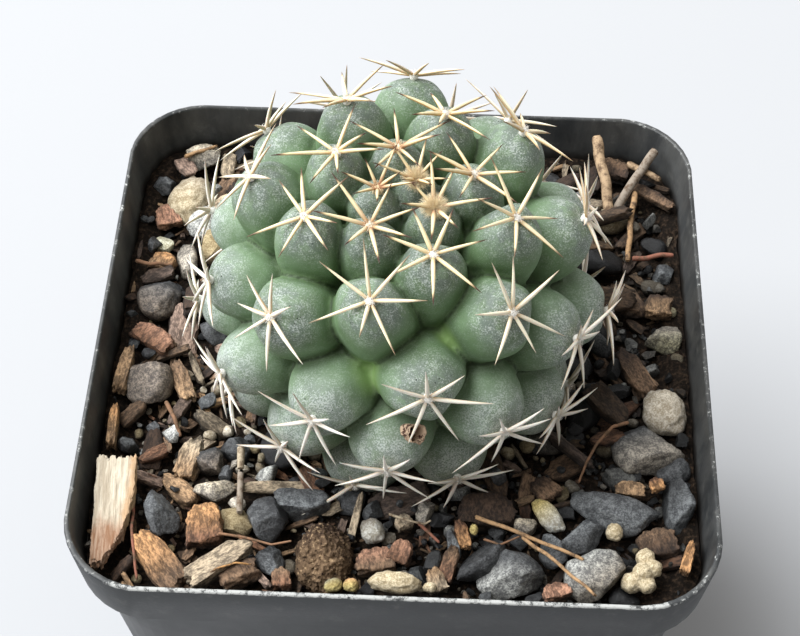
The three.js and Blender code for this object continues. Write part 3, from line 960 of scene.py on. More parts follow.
# Radius and height in millimetres.
FLOWER_ROWS = [(0.4, 0.0), (0.8, 0.5), (1.0, 1.1), (0.9, 1.7), (1.15, 2.4)]
FLOWER_TEAR = 0.3 * mm
FLOWER_CREASES = 0.7 * mm
FLOWER_CRUMPLE = 1.1 * mm
FLOWER_PAPER = 0.12 * mm
FLOWER_TAN = (0.50, 0.36, 0.25, 1)
FLOWER_BROWN = (0.060, 0.028, 0.020, 1)


def add_rounding(piece):
    """A modifier that rounds the active piece by one subdivision."""
    bpy.ops.object.modifier_add(type="SUBSURF")
    piece.modifiers[-1].levels = 1
    piece.modifiers[-1].render_levels = 1


flower_rows = [(radius * mm, height * mm) for radius, height in FLOWER_ROWS]
flower = draw_up("dried_flower", FLOWER_SIDES, flower_rows)
bpy.ops.object.mode_set(mode="EDIT")
bpy.ops.mesh.delete(type="ONLY_FACE")
bpy.ops.mesh.select_all(action="SELECT")
bpy.ops.transform.vertex_random(offset=FLOWER_TEAR, seed=4)
bpy.ops.object.mode_set(mode="OBJECT")
add_bumps(flower, FLOWER_CREASES, FLOWER_CRUMPLE)
bpy.ops.object.modifier_add(type="SOLIDIFY")
flower.modifiers[-1].thickness = FLOWER_PAPER
add_rounding(flower)
apply_modifiers(flower)
flower_turn = FLOWER_FACING.to_track_quat("Z", "Y").to_matrix().to_4x4()
flower.data.transform(Matrix.Translation(FLOWER_PLACE) @ flower_turn)
bpy.ops.object.shade_smooth()
papery, place = finish("papery_brown", {"Roughness": 0.85, "Specular IOR Level": 0.2})
withered = place.clouds(0.7 * mm, 5, 0.7)
withered.between(0.5, 0.6).mix(FLOWER_TAN, FLOWER_BROWN).paint("Base Color")
withered.emboss(0.6, 0.1 * mm)
flower.data.materials.append(papery)
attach(flower, "root")

# Stones
# The larger broken stones of the mix, which show by themselves: slate, basalt and a few warm grey ones.
# Each is a ball with flat breaks and a gritty face. Its tint runs from its near side to its far side.

CHARCOAL = (0.012, 0.012, 0.014)
DARK_SLATE = (0.030, 0.031, 0.033)
SLATE = (0.058, 0.060, 0.063)
BLUE_GREY = (0.102, 0.108, 0.113)
LIGHT_GREY = (0.30, 0.30, 0.285)
WARM_GREY = (0.20, 0.178, 0.15)
EARTH_GREY = (0.13, 0.105, 0.085)
DUSTY_BEIGE = (0.40, 0.345, 0.265)
OLIVE_GREY = (0.25, 0.23, 0.155)
# Name, place and half sizes in millimetres, turn and tilt in degrees, near tint and far tint.
STONES = [
    ("blue_grey_stone", (12.8, -29.0, 59.7), (3.5, 2.8, 2.2), -12, 8, LIGHT_GREY, SLATE),
    ("grey_stone", (21.7, -28.2, 59.8), (3.6, 2.7, 2.2), 40, 5, WARM_GREY, LIGHT_GREY),
    ("long_dark_stone", (24.2, -20.4, 59.4), (5.0, 2.5, 2.0), -14, 0, BLUE_GREY, SLATE),
    ("brown_grey_stone", (28.0, -11.6, 59.4), (3.9, 3.3, 2.0), 20, -6, WARM_GREY, SLATE),
    ("slate_by_rim", (9.7, -27.2, 59.7), (1.7, 3.3, 1.9), -38, 6, DARK_SLATE, SLATE),
    ("slate_plate", (6.7, -25.0, 59.4), (0.8, 1.7, 1.2), 12, 10, BLUE_GREY, SLATE),
    ("slate_block", (17.5, -25.2, 59.2), (1.7, 2.3, 1.8), 22, 0, SLATE, BLUE_GREY),
    ("flat_slate", (20.6, -23.6, 59.2), (3.3, 1.7, 1.5), 38, -8, SLATE, BLUE_GREY),
    ("grey_pebble", (14.5, -22.2, 59.2), (1.3, 1.2, 1.1), 10, 0, WARM_GREY, DUSTY_BEIGE),
    ("dark_stone_by_wall", (31.4, -18.6, 59.3), (1.9, 3.6, 2.2), 12, 0, BLUE_GREY, DARK_SLATE),
    ("dark_wedge", (30.8, -14.2, 58.8), (1.9, 2.2, 1.7), 50, 0, SLATE, DARK_SLATE),
    ("olive_stone", (31.0, 4.3, 58.9), (2.2, 2.0, 1.6), 8, 0, OLIVE_GREY, WARM_GREY),
    ("blue_egg", (-25.5, -22.7, 59.9), (1.8, 3.0, 1.9), 22, -10, SLATE, BLUE_GREY),
    ("blue_pebble", (31.6, 14.4, 58.9), (1.3, 1.3, 1.1), 0, 0, BLUE_GREY, SLATE),
    ("split_black_stone", (-13.6, -23.0, 59.9), (2.8, 2.4, 2.2), 112, 8, CHARCOAL, SLATE),
    ("flat_shell_stone", (-20.1, -19.2, 59.3), (2.4, 1.3, 1.0), 4, 12, WARM_GREY, DUSTY_BEIGE),
    ("dark_stone_left", (-21.2, -15.4, 58.9), (1.8, 1.7, 1.6), 20, 0, EARTH_GREY, DARK_SLATE),
    ("dark_stone_near_it", (-18.3, -13.0, 58.6), (1.9, 1.6, 1.5), -30, 0, DARK_SLATE, SLATE),
    ("blue_stone_behind_lump", (-10.2, -20.3, 59.0), (3.2, 1.8, 1.7), 6, 0, BLUE_GREY, SLATE),
    ("blue_splinters", (-13.2, -27.6, 58.9), (1.5, 1.7, 1.5), 30, 14, BLUE_GREY, DARK_SLATE),
    ("black_pebble", (-30.6, -13.2, 58.9), (1.2, 1.1, 1.1), 0, 0, DARK_SLATE, BLUE_GREY),
    ("brown_stone_left", (-29.2, -4.8, 59.4), (3.0, 3.2, 2.2), 25, 6, EARTH_GREY, EARTH_GREY),
    ("dark_stone_far_left", (-29.6, 7.6, 59.1), (2.6, 3.1, 2.0), -10, 0, EARTH_GREY, SLATE),
    ("small_dark_stone", (-31.2, 26.4, 58.8), (1.4, 1.5, 1.3), 0, 0, SLATE, BLUE_GREY),
    ("far_grey_pebble", (-26.6, 30.6, 59.6), (2.2, 1.7, 1.6), 8, 0, WARM_GREY, DUSTY_BEIGE),
]
STONE_CUTS = 10
BREAK_REACH = (0.5, 0.85)
# On a form of half size 1: the size of its faces, and the size and height of its dents and its grit.
STONE_VOXEL = 0.095
STONE_DENTS = (0.55, 0.12)
STONE_GRIT = (0.16, 0.07)
# The share of its tint that a piece keeps at half height, at its foot and on top: painted shade on its
# underside and painted light on its top.
PAINTED_HEIGHT_SHADES = (0.62, 0.15, 1.15)


def centre_and_fill(piece):
    """Makes a piece's box run from -1 to 1 each way."""
    corners = points_of(piece.data)
    low, high = corners.min(0), corners.max(0)
    size = Matrix.Diagonal((*(2 / (high - low)), 1))
    piece.data.transform(size @ Matrix.Translation(-(low + high) / 2))


def roughen(piece, voxel, *layers):
    """Rebuilds a piece in small even faces, and raises bumps of some sizes and heights on it."""
    bpy.context.view_layer.objects.active = piece
    add_rebuild(piece, voxel)
    for size, rise in layers:
        add_bumps(piece, size, rise)
    apply_modifiers(piece)
    smooth_but(piece, 50)
    return piece


def break_stone(seed, cuts):
    """A ball cut by flat breaks on all sides."""
    draw = random.Random(seed)
    bpy.ops.mesh.primitive_ico_sphere_add(subdivisions=3, radius=1)
    stone = bpy.context.object
    bpy.ops.object.mode_set(mode="EDIT")
    for _ in range(cuts):
        normal = Vector([draw.gauss(0, 1) for _ in range(3)]).normalized()
        reach = normal * draw.uniform(*BREAK_REACH)
        bpy.ops.mesh.select_all(action="SELECT")
        bpy.ops.mesh.bisect(plane_co=reach, plane_no=normal, use_fill=True, clear_outer=True)
    bpy.ops.object.mode_set(mode="OBJECT")
    centre_and_fill(stone)
    return stone


def place_of(centre, half, turn, tilt):
    """Brings a form of half size 1 to its place. Sizes are in millimetres, and turns in degrees."""
    turned = Matrix.Rotation(math.radians(turn), 4, "Z") @ Matrix.Rotation(math.radians(tilt), 4, "X")
    size = Matrix.Diagonal((*(length * mm for length in half), 1))
    return Matrix.Translation(Vector(centre) * mm) @ turned @ size


def lay(model, matrix, tint, far_tint=None):
    """A copy of a form in its place, with its grain and its tint. Painted shade darkens its underside and
    painted light lightens its top.
    """
    copy = place_copy(model, Matrix.Identity(4))
    mesh = copy.data
    corners = points_of(mesh)
    sizes = np.array([matrix.col[k].xyz.length for k in range(3)])
    grain = corners * sizes + np.array(matrix.translation)
    add_attribute(mesh, "grain", grain, "FLOAT_VECTOR", "vector")
    share = np.clip(corners[:, 1:2] * 0.9 + 0.5, 0, 1)
    colors = np.array(tint) * (1 - share) + np.array(far_tint or tint) * share
    # Painted shade and light: the tint darkens towards the piece's underside and lightens on its top.
    middle, foot, top = PAINTED_HEIGHT_SHADES
    colors = colors * np.clip(middle + middle * corners[:, 2:3], foot, top)
    add_attribute(mesh, "tint", np.hstack([colors, np.ones_like(share)]), "FLOAT_COLOR", "color")
    mesh.transform(matrix)
    return copy


settled = []


def settle(form, centre, half, turn, tilt, tint, far_tint=None):
    """Lays a form in its own place, of which the loose mix keeps clear later."""
    centre_and_fill(form)
    matrix = place_of(centre, half, turn, tilt)
    piece = lay(form, matrix, tint, far_tint)
    bpy.data.objects.remove(form)
    settled.append(matrix)
    return piece


def rough_finish(name, constants, size, light, dark, stretch):
    """A finish on a piece's own tint, with lighter and darker marks along its grain. The marks follow its
    raised relief: partly the piece's own mottled tone, partly painted shade in the hollows and painted light
    on the ridges.
    """
    material, place = finish(name, constants)
    tint = own_value(place, "tint", "Color")
    grain = own_value(place, "grain", "Vector").stretched(stretch)
    marks = grain.clouds(size, 6, 0.7)
    pits = grain.clouds(size * 0.25, 4, 0.7)
    times = {"data_type": "RGBA", "blend_type": "MULTIPLY"}
    lit = tint.node("Mix", times, {0: 1.0, 6: tint, 7: light}, 2)
    shaded = tint.node("Mix", times, {0: 1.0, 6: tint, 7: dark}, 2)
    # Darker in the relief's hollows and lighter on its ridges: partly mottled tone, partly painted shade and
    # light.
    (marks * 0.6 + pits * 0.4).between(0.40, 0.64).mix(shaded, lit).paint("Base Color")
    (marks + pits * 0.5).emboss(0.7, 0.25 * mm)
    return material


def hand_over(pieces, finish_of_all, name):
    """Rides each piece that stands for a solid of its own, and joins the others."""
    others = []
    for node, piece in pieces:
        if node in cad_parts:
            piece.name = "shown_" + node
            piece.data.materials.append(finish_of_all)
            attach(piece, "root")
            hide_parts(node)
        else:
            others.append(piece)
    group = join(others, name)
    group.data.materials.append(finish_of_all)
    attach(group, "root")


stone_finish = rough_finish(
    "broken_stone", {"Roughness": 0.55}, 0.8 * mm, (2.2, 2.2, 2.15, 1), (0.48, 0.48, 0.5, 1), (1, 1, 1)
)
shown = []
for seed, (name, *place_and_tints) in enumerate(STONES):
    stone = roughen(break_stone(seed, STONE_CUTS), STONE_VOXEL, STONE_DENTS, STONE_GRIT)
    shown.append((name, settle(stone, *place_and_tints)))
hand_over(shown, stone_finish, "broken_stones")

# Bark chips and wood
# Torn chips of pine bark and wood that show by themselves. Bark is brown and crumbly, wood orange or tan.
# Each is a torn block with its grain along its length.

BARK_BROWN = (0.15, 0.098, 0.062)
DARK_BARK = (0.045, 0.028, 0.019)
RUST_BARK = (0.15, 0.080, 0.048)
TAN_WOOD = (0.29, 0.195, 0.115)
ORANGE_WOOD = (0.43, 0.245, 0.115)
ORANGE_PINK = (0.30, 0.17, 0.115)
DRY_WOOD = (0.34, 0.285, 0.21)
PURPLE_BARK = (0.15, 0.11, 0.09)
# Rows like those of the stones.
CHIPS = [
    ("bark_chip", (-25.0, -28.6, 60.0), (2.1, 4.2, 1.3), 40, 12, BARK_BROWN, ORANGE_WOOD),
    ("orange_chip", (-20.7, -24.0, 60.0), (2.2, 2.6, 1.2), 6, 14, RUST_BARK, ORANGE_WOOD),
    ("dry_shard", (-18.6, -28.6, 60.3), (1.5, 4.2, 1.1), -52, 0, DRY_WOOD, DRY_WOOD),
    ("brown_under_shard", (-16.4, -29.6, 59.6), (2.4, 1.6, 1.2), 30, -10, BARK_BROWN, DARK_BARK),
    ("tan_chip_left", (-23.2, -15.2, 59.6), (1.4, 2.7, 0.9), -14, 10, TAN_WOOD, DRY_WOOD),
    ("wall_chip_left", (-32.4, -11.4, 60.0), (0.6, 3.2, 1.2), 2, 0, TAN_WOOD, ORANGE_WOOD),
    ("tan_chip_by_wall", (-32.2, -3.4, 60.0), (0.9, 3.6, 1.2), -4, 0, TAN_WOOD, TAN_WOOD),
    ("brown_by_lump", (-11.8, -29.9, 59.3), (1.1, 1.4, 0.9), 10, 0, RUST_BARK, BARK_BROWN),
    ("soft_brown_chip", (-1.8, -27.2, 59.2), (2.4, 1.6, 1.0), 12, 0, BARK_BROWN, ORANGE_PINK),
    ("red_brown_chip", (1.0, -26.2, 59.6), (1.3, 1.5, 1.0), -20, 12, RUST_BARK, ORANGE_PINK),
    ("frayed_chip", (4.8, -29.6, 59.7), (1.1, 1.5, 0.8), 20, 10, DRY_WOOD, TAN_WOOD),
    ("ragged_chip", (6.2, -27.6, 59.8), (0.9, 2.3, 0.9), -16, 16, RUST_BARK, BARK_BROWN),
    ("orange_splinter", (7.5, -23.9, 59.9), (0.8, 1.9, 0.7), 14, 8, ORANGE_WOOD, RUST_BARK),
    ("orange_pink_chip", (17.6, -30.7, 60.3), (1.6, 1.0, 0.8), 20, 0, ORANGE_PINK, ORANGE_PINK),
    ("dark_bark_front", (10.2, -20.2, 58.9), (3.6, 2.4, 1.7), 4, 0, DARK_BARK, DARK_BARK),
    ("beige_chip", (1.0, -22.4, 59.5), (1.0, 1.0, 0.7), 30, 0, DRY_WOOD, DRY_WOOD),
    ("brown_bits_right", (16.6, -17.2, 59.0), (1.5, 1.7, 0.9), 40, 0, BARK_BROWN, DARK_BARK),
    ("tan_chip_right", (26.1, -17.2, 59.9), (1.8, 1.0, 0.6), -4, 12, TAN_WOOD, TAN_WOOD),
    ("orange_brown_bit", (29.0, -16.8, 60.2), (0.9, 0.9, 0.6), 20, 0, ORANGE_WOOD, RUST_BARK),
    ("orange_chip_by_wall", (31.9, -26.2, 60.6), (0.6, 2.2, 0.9), -16, 0, ORANGE_WOOD, ORANGE_WOOD),
    ("dark_bark_right", (29.0, -23.9, 59.2), (2.4, 1.9, 1.4), 12, 0, DARK_BARK, BARK_BROWN),
    ("long_brown_chip", (27.4, -0.8, 59.0), (1.5, 4.0, 1.0), 28, 0, BARK_BROWN, DARK_BARK),
    ("round_orange_chip", (30.6, 9.0, 59.4), (1.8, 1.7, 1.1), 0, 0, TAN_WOOD, DARK_BARK),
    ("salmon_chip", (-30.0, 20.6, 59.5), (1.7, 1.7, 0.9), 16, 8, ORANGE_PINK, ORANGE_PINK),
    ("tan_chip_far_left", (-29.8, 13.4, 59.3), (1.7, 1.4, 0.8), -20, 0, TAN_WOOD, ORANGE_WOOD),
    ("rust_chip_left", (-29.4, 1.6, 59.6), (3.2, 1.5, 0.9), -34, 6, RUST_BARK, ORANGE_PINK),
    ("tan_bits_left", (-25.4, -4.4, 59.2), (1.1, 3.2, 0.8), 22, 0, TAN_WOOD, BARK_BROWN),
    ("brown_chip_far_right", (26.0, 30.6, 60.0), (2.2, 1.7, 1.1), -18, 0, DARK_BARK, BARK_BROWN),
    ("flat_chip_far_right", (30.6, 26.4, 60.0), (3.4, 0.9, 0.6), -34, 8, BARK_BROWN, DARK_BARK),
]
FIRST_CHIP_SEED = 50
CHIP_VOXEL = 0.11
CHIP_TEARS = (0.45, 0.3)
CHIP_FIBRES = (0.15, 0.16)
# Where along its length a chip's thin end begins, and the share of its width, length and height left there.
THIN_FROM = 0.6
THIN_SHARE = (0.55, 1, 0.6)


def tear_chip(seed, ragged=0.3):
    """A block torn at its ends and thinner at one of them."""
    bpy.ops.mesh.primitive_cube_add(size=2)
    chip = bpy.context.object
    bpy.ops.object.mode_set(mode="EDIT")
    bpy.ops.mesh.select_all(action="SELECT")
    bpy.ops.mesh.subdivide(number_cuts=2)
    bpy.ops.transform.vertex_random(offset=ragged, seed=seed)
    select_where(chip, lambda co: co.y > THIN_FROM)
    bpy.ops.transform.resize(value=THIN_SHARE, center_override=(0.2, 1, 0))
    bpy.ops.object.mode_set(mode="OBJECT")
    centre_and_fill(chip)
    return chip


bark_finish = rough_finish(
    "torn_bark", {"Roughness": 0.85}, 0.9 * mm, (1.75, 1.65, 1.55, 1), (0.42, 0.39, 0.37, 1), (1, 0.4, 1)
)
shown = []
for seed, (name, *place_and_tints) in enumerate(CHIPS, FIRST_CHIP_SEED):
    chip = roughen(tear_chip(seed), CHIP_VOXEL, CHIP_TEARS, CHIP_FIBRES)
    shown.append((name, settle(chip, *place_and_tints)))
hand_over(shown, bark_finish, "torn_chips")

# The pale splinter
# A thick splinter of split wood in the front left corner, cream on its face and tan along its torn edge.
# It is a block with a cut corner, made short and stretched along its fibres, so that its ends fray.

SPLINTER_PLACE = (-30.4, -23.6, 61.6)
SPLINTER_HALF = (2.3, 6.8, 0.9)
SPLINTER_TURN = 4
SPLINTER_TILT = 5
# A point on each cut of the block, and the direction that the cut faces.
SPLINTER_CUTS = [((0.83, -0.22, 0), (0.523, -0.852, 0)), ((1.0, 0.3, 0), (0.825, -0.564, 0))]
SPLINTER_VOXEL = 0.05
SPLINTER_SPLITS = (0.3, 0.3)
SPLINTER_FIBRES = (0.08, 0.12)
# Where its torn edge starts and ends to the right, and its rusty foot towards the viewer.
TORN_EDGE = (-28.6 * mm, -27.6 * mm)
RUSTY_FOOT = (-20.2 * mm, -22.6 * mm)
SPLINTER_CREAM = (0.70, 0.62, 0.49, 1)
SPLINTER_GREY = (0.47, 0.39, 0.29, 1)
SPLINTER_TAN = (0.52, 0.33, 0.18, 1)
SPLINTER_PINK = (0.50, 0.34, 0.24, 1)
SPLINTER_RUST = (0.30, 0.16, 0.09, 1)

bpy.ops.mesh.primitive_cube_add(size=2)
splinter = bpy.context.object
splinter.name = "pale_splinter"
bpy.ops.object.mode_set(mode="EDIT")
for point, normal in SPLINTER_CUTS:
    bpy.ops.mesh.select_all(action="SELECT")
    bpy.ops.mesh.bisect(plane_co=point, plane_no=normal, use_fill=True, clear_outer=True)
bpy.ops.object.mode_set(mode="OBJECT")
roughen(splinter, SPLINTER_VOXEL, SPLINTER_SPLITS, SPLINTER_FIBRES)
piece = settle(splinter, SPLINTER_PLACE, SPLINTER_HALF, SPLINTER_TURN, SPLINTER_TILT, SPLINTER_CREAM[:3])
wood, place = finish("split_wood", {"Roughness": 0.8, "Specular IOR Level": 0.25})
fibres = own_value(place, "grain", "Vector").stretched((1, 0.07, 1))
streaks = fibres.clouds(0.4 * mm, 6, 0.7)
ragged = place.clouds(2 * mm, 5, 0.7)
across = place.along("X") + ragged * 2.4 * mm
down = place.along("Y") + ragged * 5 * mm + streaks * 3 * mm
colour = streaks.between(0.36, 0.62).mix(SPLINTER_CREAM, SPLINTER_GREY)
colour = (across.between(*TORN_EDGE) * 0.85).mix(colour, SPLINTER_TAN)
rusty = streaks.between(0.4, 0.6).mix(SPLINTER_PINK, SPLINTER_RUST)
down.between(*RUSTY_FOOT).mix(colour, rusty).paint("Base Color")
streaks.emboss(0.8, 0.3 * mm)
piece.data.materials.append(wood)
piece.name = "pale_splinter"
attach(piece, "root")
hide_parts("wood_chip")

# The bark lump
# A rounded lump of old bark, brown and pitted all over like cork, that stands in the gravel at the front.
# It is a ball with coarse and fine grains raised on it.

LUMP_PLACE = (-7.4, -27.0, 58.8)
LUMP_HALF = (3.3, 4.4, 3.7)
LUMP_TURN = 8
LUMP_VOXEL = 0.045
LUMP_SWELLS = (0.8, 0.35)
LUMP_GRAINS = (0.16, 0.22)
LUMP_PITS = (0.07, 0.12)
LUMP_BROWN = (0.17, 0.11, 0.065)
LUMP_PALE = (0.42, 0.29, 0.17, 1)
LUMP_DARK = (0.018, 0.011, 0.008, 1)

bpy.ops.mesh.primitive_ico_sphere_add(subdivisions=4, radius=1)
lump = roughen(bpy.context.object, LUMP_VOXEL, LUMP_SWELLS, LUMP_GRAINS, LUMP_PITS)
piece = settle(lump, LUMP_PLACE, LUMP_HALF, LUMP_TURN, 0, LUMP_BROWN, DARK_BARK)
cork, place = finish("pitted_bark", {"Roughness": 0.95, "Specular IOR Level": 0.15})
tint = own_value(place, "tint", "Color")
grains = place.clouds(0.5 * mm, 5, 0.75)
colour = grains.between(0.52, 0.68).mix(tint, LUMP_PALE)
grains.between(0.46, 0.36).mix(colour, LUMP_DARK).paint("Base Color")
grains.emboss(0.8, 0.3 * mm)
piece.data.materials.append(cork)
piece.name = "pitted_lump"
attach(piece, "root")
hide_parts("bark_lump")

# Pale pebbles and pumice
# Cream pebbles, yellow pumice and one pale stone at the back, which lie among the dark ones.
# They are soft balls with a fine grain. The knob in the front right corner is five beads grown together.

PUMICE_CREAM = (0.62, 0.53, 0.37)
PUMICE_YELLOW = (0.60, 0.49, 0.20)
PUMICE_SAND = (0.42, 0.34, 0.20)
CRYSTAL_WHITE = (0.62, 0.62, 0.58)
STONE_BEIGE = (0.56, 0.51, 0.43)
# Rows like those of the stones.
PEBBLES = [
    ("pale_stone", (-27.4, 23.4, 59.4), (2.9, 3.9, 2.4), -12, 0, PUMICE_CREAM, DUSTY_BEIGE),
    ("smooth_beige_stone", (30.4, -6.9, 60.0), (2.7, 3.2, 2.1), 14, 0, STONE_BEIGE, STONE_BEIGE),
    ("cream_pebble", (0.5, -30.5, 60.6), (3.0, 1.3, 1.2), -3, 0, PUMICE_CREAM, PUMICE_CREAM),
    ("rim_crumb", (4.2, -30.9, 60.5), (0.8, 0.6, 0.6), 0, 0, PUMICE_CREAM, PUMICE_CREAM),
    ("green_crumb", (-6.1, -31.0, 60.4), (1.1, 0.8, 0.8), 20, 0, PUMICE_YELLOW, OLIVE_GREY),
    ("orange_crumb", (-4.2, -30.9, 60.4), (0.9, 0.8, 0.8), 0, 0, PUMICE_YELLOW, ORANGE_WOOD),
    ("white_crystal", (-2.3, -23.6, 59.4), (1.4, 1.6, 1.3), 30, 0, CRYSTAL_WHITE, WARM_GREY),
    ("yellow_pumice", (16.9, -21.2, 60.0), (1.3, 2.5, 1.2), 38, 0, CRYSTAL_WHITE, PUMICE_YELLOW),
    ("yellow_bit", (8.8, -23.4, 60.2), (0.5, 0.7, 0.5), 0, 0, PUMICE_YELLOW, PUMICE_YELLOW),
    ("small_cream_pebble", (24.1, -23.2, 60.4), (1.0, 1.1, 0.9), 0, 0, PUMICE_CREAM, PUMICE_CREAM),
    ("green_tan_pebble", (32.2, 8.4, 59.2), (0.7, 0.7, 0.6), 0, 0, OLIVE_GREY, OLIVE_GREY),
]
PEBBLE_VOXEL = 0.12
PEBBLE_DENTS = (1.1, 0.5)
PEBBLE_GRAIN = (0.25, 0.14)
KNOB_PLACE = (27.2, -28.4, 60.5)
KNOB_HALF = (2.0, 2.8, 1.6)
KNOB_TURN = -38
KNOB_VOXEL = 0.14
KNOB_DENTS = (0.5, 0.3)
KNOB_GRAIN = (0.2, 0.1)
# Middle and radius of each bead in millimetres.
KNOB_BEADS = [
    ((-1.1, 1.6, 0.2), 1.05),
    ((0.3, 0.9, 0.5), 1.0),
    ((-0.2, -0.3, 0.6), 1.1),
    ((0.9, -0.9, 0.1), 0.95),
    ((-0.6, -1.7, -0.2), 1.15),
]

pale_finish = rough_finish(
    "pumice", {"Roughness": 0.9}, 0.8 * mm, (1.2, 1.2, 1.2, 1), (0.55, 0.5, 0.42, 1), (1, 1, 1)
)
shown = []
for name, *place_and_tints in PEBBLES:
    bpy.ops.mesh.primitive_ico_sphere_add(subdivisions=3, radius=1)
    pebble = roughen(bpy.context.object, PEBBLE_VOXEL, PEBBLE_DENTS, PEBBLE_GRAIN)
    shown.append((name, settle(pebble, *place_and_tints)))
beads = []
for centre, radius in KNOB_BEADS:
    bpy.ops.mesh.primitive_ico_sphere_add(subdivisions=3, radius=radius)
    bead = bpy.context.object
    bead.data.transform(Matrix.Translation(centre))
    beads.append(bead)
knob = roughen(join(beads, "knob_model"), KNOB_VOXEL, KNOB_DENTS, KNOB_GRAIN)
shown.append(("pumice_knob", lay(knob, place_of(KNOB_PLACE, (1, 1, 1), KNOB_TURN, 0), PUMICE_CREAM)))
settled.append(place_of(KNOB_PLACE, KNOB_HALF, KNOB_TURN, 0))
bpy.data.objects.remove(knob)
hand_over(shown, pale_finish, "pale_pebbles")

# Twigs, reeds and rootlets
# Dry stems of the potting mix: two tan twigs at the front, reeds in the far right corner, and fine roots.
# Each is a line of points with a skin of its own thickness round it.

TWIG_TAN = (0.47, 0.29, 0.15)
REED_TAN = (0.44, 0.31, 0.19)
REED_GREY = (0.30, 0.25, 0.20)
ROOT_BROWN = (0.26, 0.14, 0.08)
STEM_RED = (0.30, 0.12, 0.08)
ROOT_ORANGE = (0.52, 0.28, 0.11)
STRAW = (0.46, 0.38, 0.27)
STEM_MARKS = (0.12, 0.075, 0.045, 1)
# Tint, radius at the first and last point, and the points, in millimetres.
STEMS = [
    (TWIG_TAN, 0.27, 0.20, [(8.8, -22.2, 61.0), (13.6, -24.4, 61.6), (20.6, -27.6, 61.8)]),
    (TWIG_TAN, 0.24, 0.18, [(13.9, -24.6, 61.2), (18.0, -28.6, 62.2), (21.6, -32.6, 63.0)]),
    (STRAW, 0.17, 0.12, [(-0.6, -22.9, 62.0), (1.9, -23.7, 62.0), (3.4, -23.9, 61.8), (4.1, -23.5, 62.0)]),
    (STEM_RED, 0.20, 0.16, [(-28.7, -21.6, 60.8), (-28.0, -27.0, 61.4), (-27.0, -31.4, 60.6)]),
    (STRAW, 0.5, 0.42, [(-17.4, -14.6, 61.8), (-17.2, -17.6, 61.3)]),
    (REED_GREY, 0.38, 0.42, [(-17.2, -17.4, 61.3), (-16.9, -22.6, 60.2)]),
    (
        ROOT_ORANGE, 0.14, 0.11,
        [(-20.4, -31.4, 60.8), (-18.7, -30.2, 61.5), (-16.6, -29.4, 61.6), (-14.9, -29.2, 61.0)],
    ),
    (
        ROOT_BROWN, 0.18, 0.12,
        [(-19.0, -25.4, 60.8), (-16.0, -25.9, 61.0), (-13.0, -26.8, 61.2), (-10.8, -26.6, 61.8)],
    ),
    (
        ROOT_BROWN, 0.24, 0.14,
        [
            (26.1, -9.6, 61.8), (24.2, -10.4, 62.0), (22.4, -12.4, 61.4), (21.2, -14.6, 60.6),
            (20.4, -16.6, 59.6),
        ],
    ),
    (STEM_RED, 0.22, 0.18, [(2.6, -22.8, 60.4), (5.1, -25.2, 60.2)]),
    (ROOT_BROWN, 0.16, 0.12, [(9.8, -24.6, 60.4), (11.6, -25.6, 60.9), (13.8, -24.6, 61.2)]),
    (REED_TAN, 0.8, 0.7, [(23.4, 33.2, 63.6), (24.1, 29.0, 62.4), (25.3, 21.6, 60.6)]),
    (REED_GREY, 0.66, 0.6, [(31.0, 31.2, 63.4), (28.4, 27.6, 61.9), (24.9, 21.6, 60.2)]),
    (TWIG_TAN, 0.45, 0.35, [(28.3, 26.0, 61.2), (27.6, 20.8, 60.4), (27.2, 15.8, 59.6)]),
    (STEM_RED, 0.35, 0.3, [(27.6, 16.0, 60.0), (32.8, 16.2, 60.6)]),
    (REED_TAN, 0.5, 0.4, [(27.4, 30.6, 61.4), (31.6, 27.6, 61.6)]),
    (ROOT_BROWN, 0.3, 0.2, [(-33.0, 12.6, 60.4), (-31.0, 12.0, 60.6), (-28.4, 12.6, 60.0)]),
    (TWIG_TAN, 0.3, 0.2, [(-29.0, 29.6, 60.8), (-24.8, 31.4, 61.2)]),
    (ROOT_BROWN, 0.3, 0.22, [(-26.8, -8.0, 60.4), (-25.4, -10.6, 60.8), (-24.6, -12.6, 60.0)]),
]


def add_stem(radius, end_radius, points):
    """A round stem that follows some points and narrows evenly."""
    bpy.ops.mesh.primitive_plane_add(size=1 * mm)
    stem = bpy.context.object
    bpy.ops.object.mode_set(mode="EDIT")
    bpy.ops.mesh.select_all(action="SELECT")
    bpy.ops.mesh.merge(type="CENTER")
    bpy.ops.transform.translate(value=Vector(points[0]) * mm)
    for start, end in zip(points, points[1:]):
        step = (Vector(end) - Vector(start)) * mm
        bpy.ops.mesh.extrude_region_move(TRANSFORM_OT_translate={"value": step})
    bpy.ops.mesh.select_all(action="SELECT")
    bpy.ops.mesh.subdivide(number_cuts=2, smoothness=1)
    bpy.ops.object.mode_set(mode="OBJECT")
    bpy.ops.object.modifier_add(type="SKIN")
    start = Vector(points[0]) * mm
    length = (Vector(points[-1]) * mm - start).length
    for vertex, skin_of_it in zip(stem.data.vertices, stem.data.skin_vertices[0].data):
        share = min((vertex.co - start).length / length, 1)
        size = (radius + (end_radius - radius) * share) * mm
        skin_of_it.radius = (size, size)
    add_rounding(stem)
    apply_modifiers(stem)
    bpy.ops.object.mode_set(mode="EDIT")
    for end, inner in ((points[0], points[1]), (points[-1], points[-2])):
        outwards = (Vector(end) - Vector(inner)).normalized()
        cut = Vector(end) * mm - outwards * 0.5 * end_radius * mm
        bpy.ops.mesh.select_all(action="SELECT")
        bpy.ops.mesh.bisect(plane_co=cut, plane_no=outwards, use_fill=True, clear_outer=True)
    bpy.ops.object.mode_set(mode="OBJECT")
    smooth_but(stem, 50)
    return stem


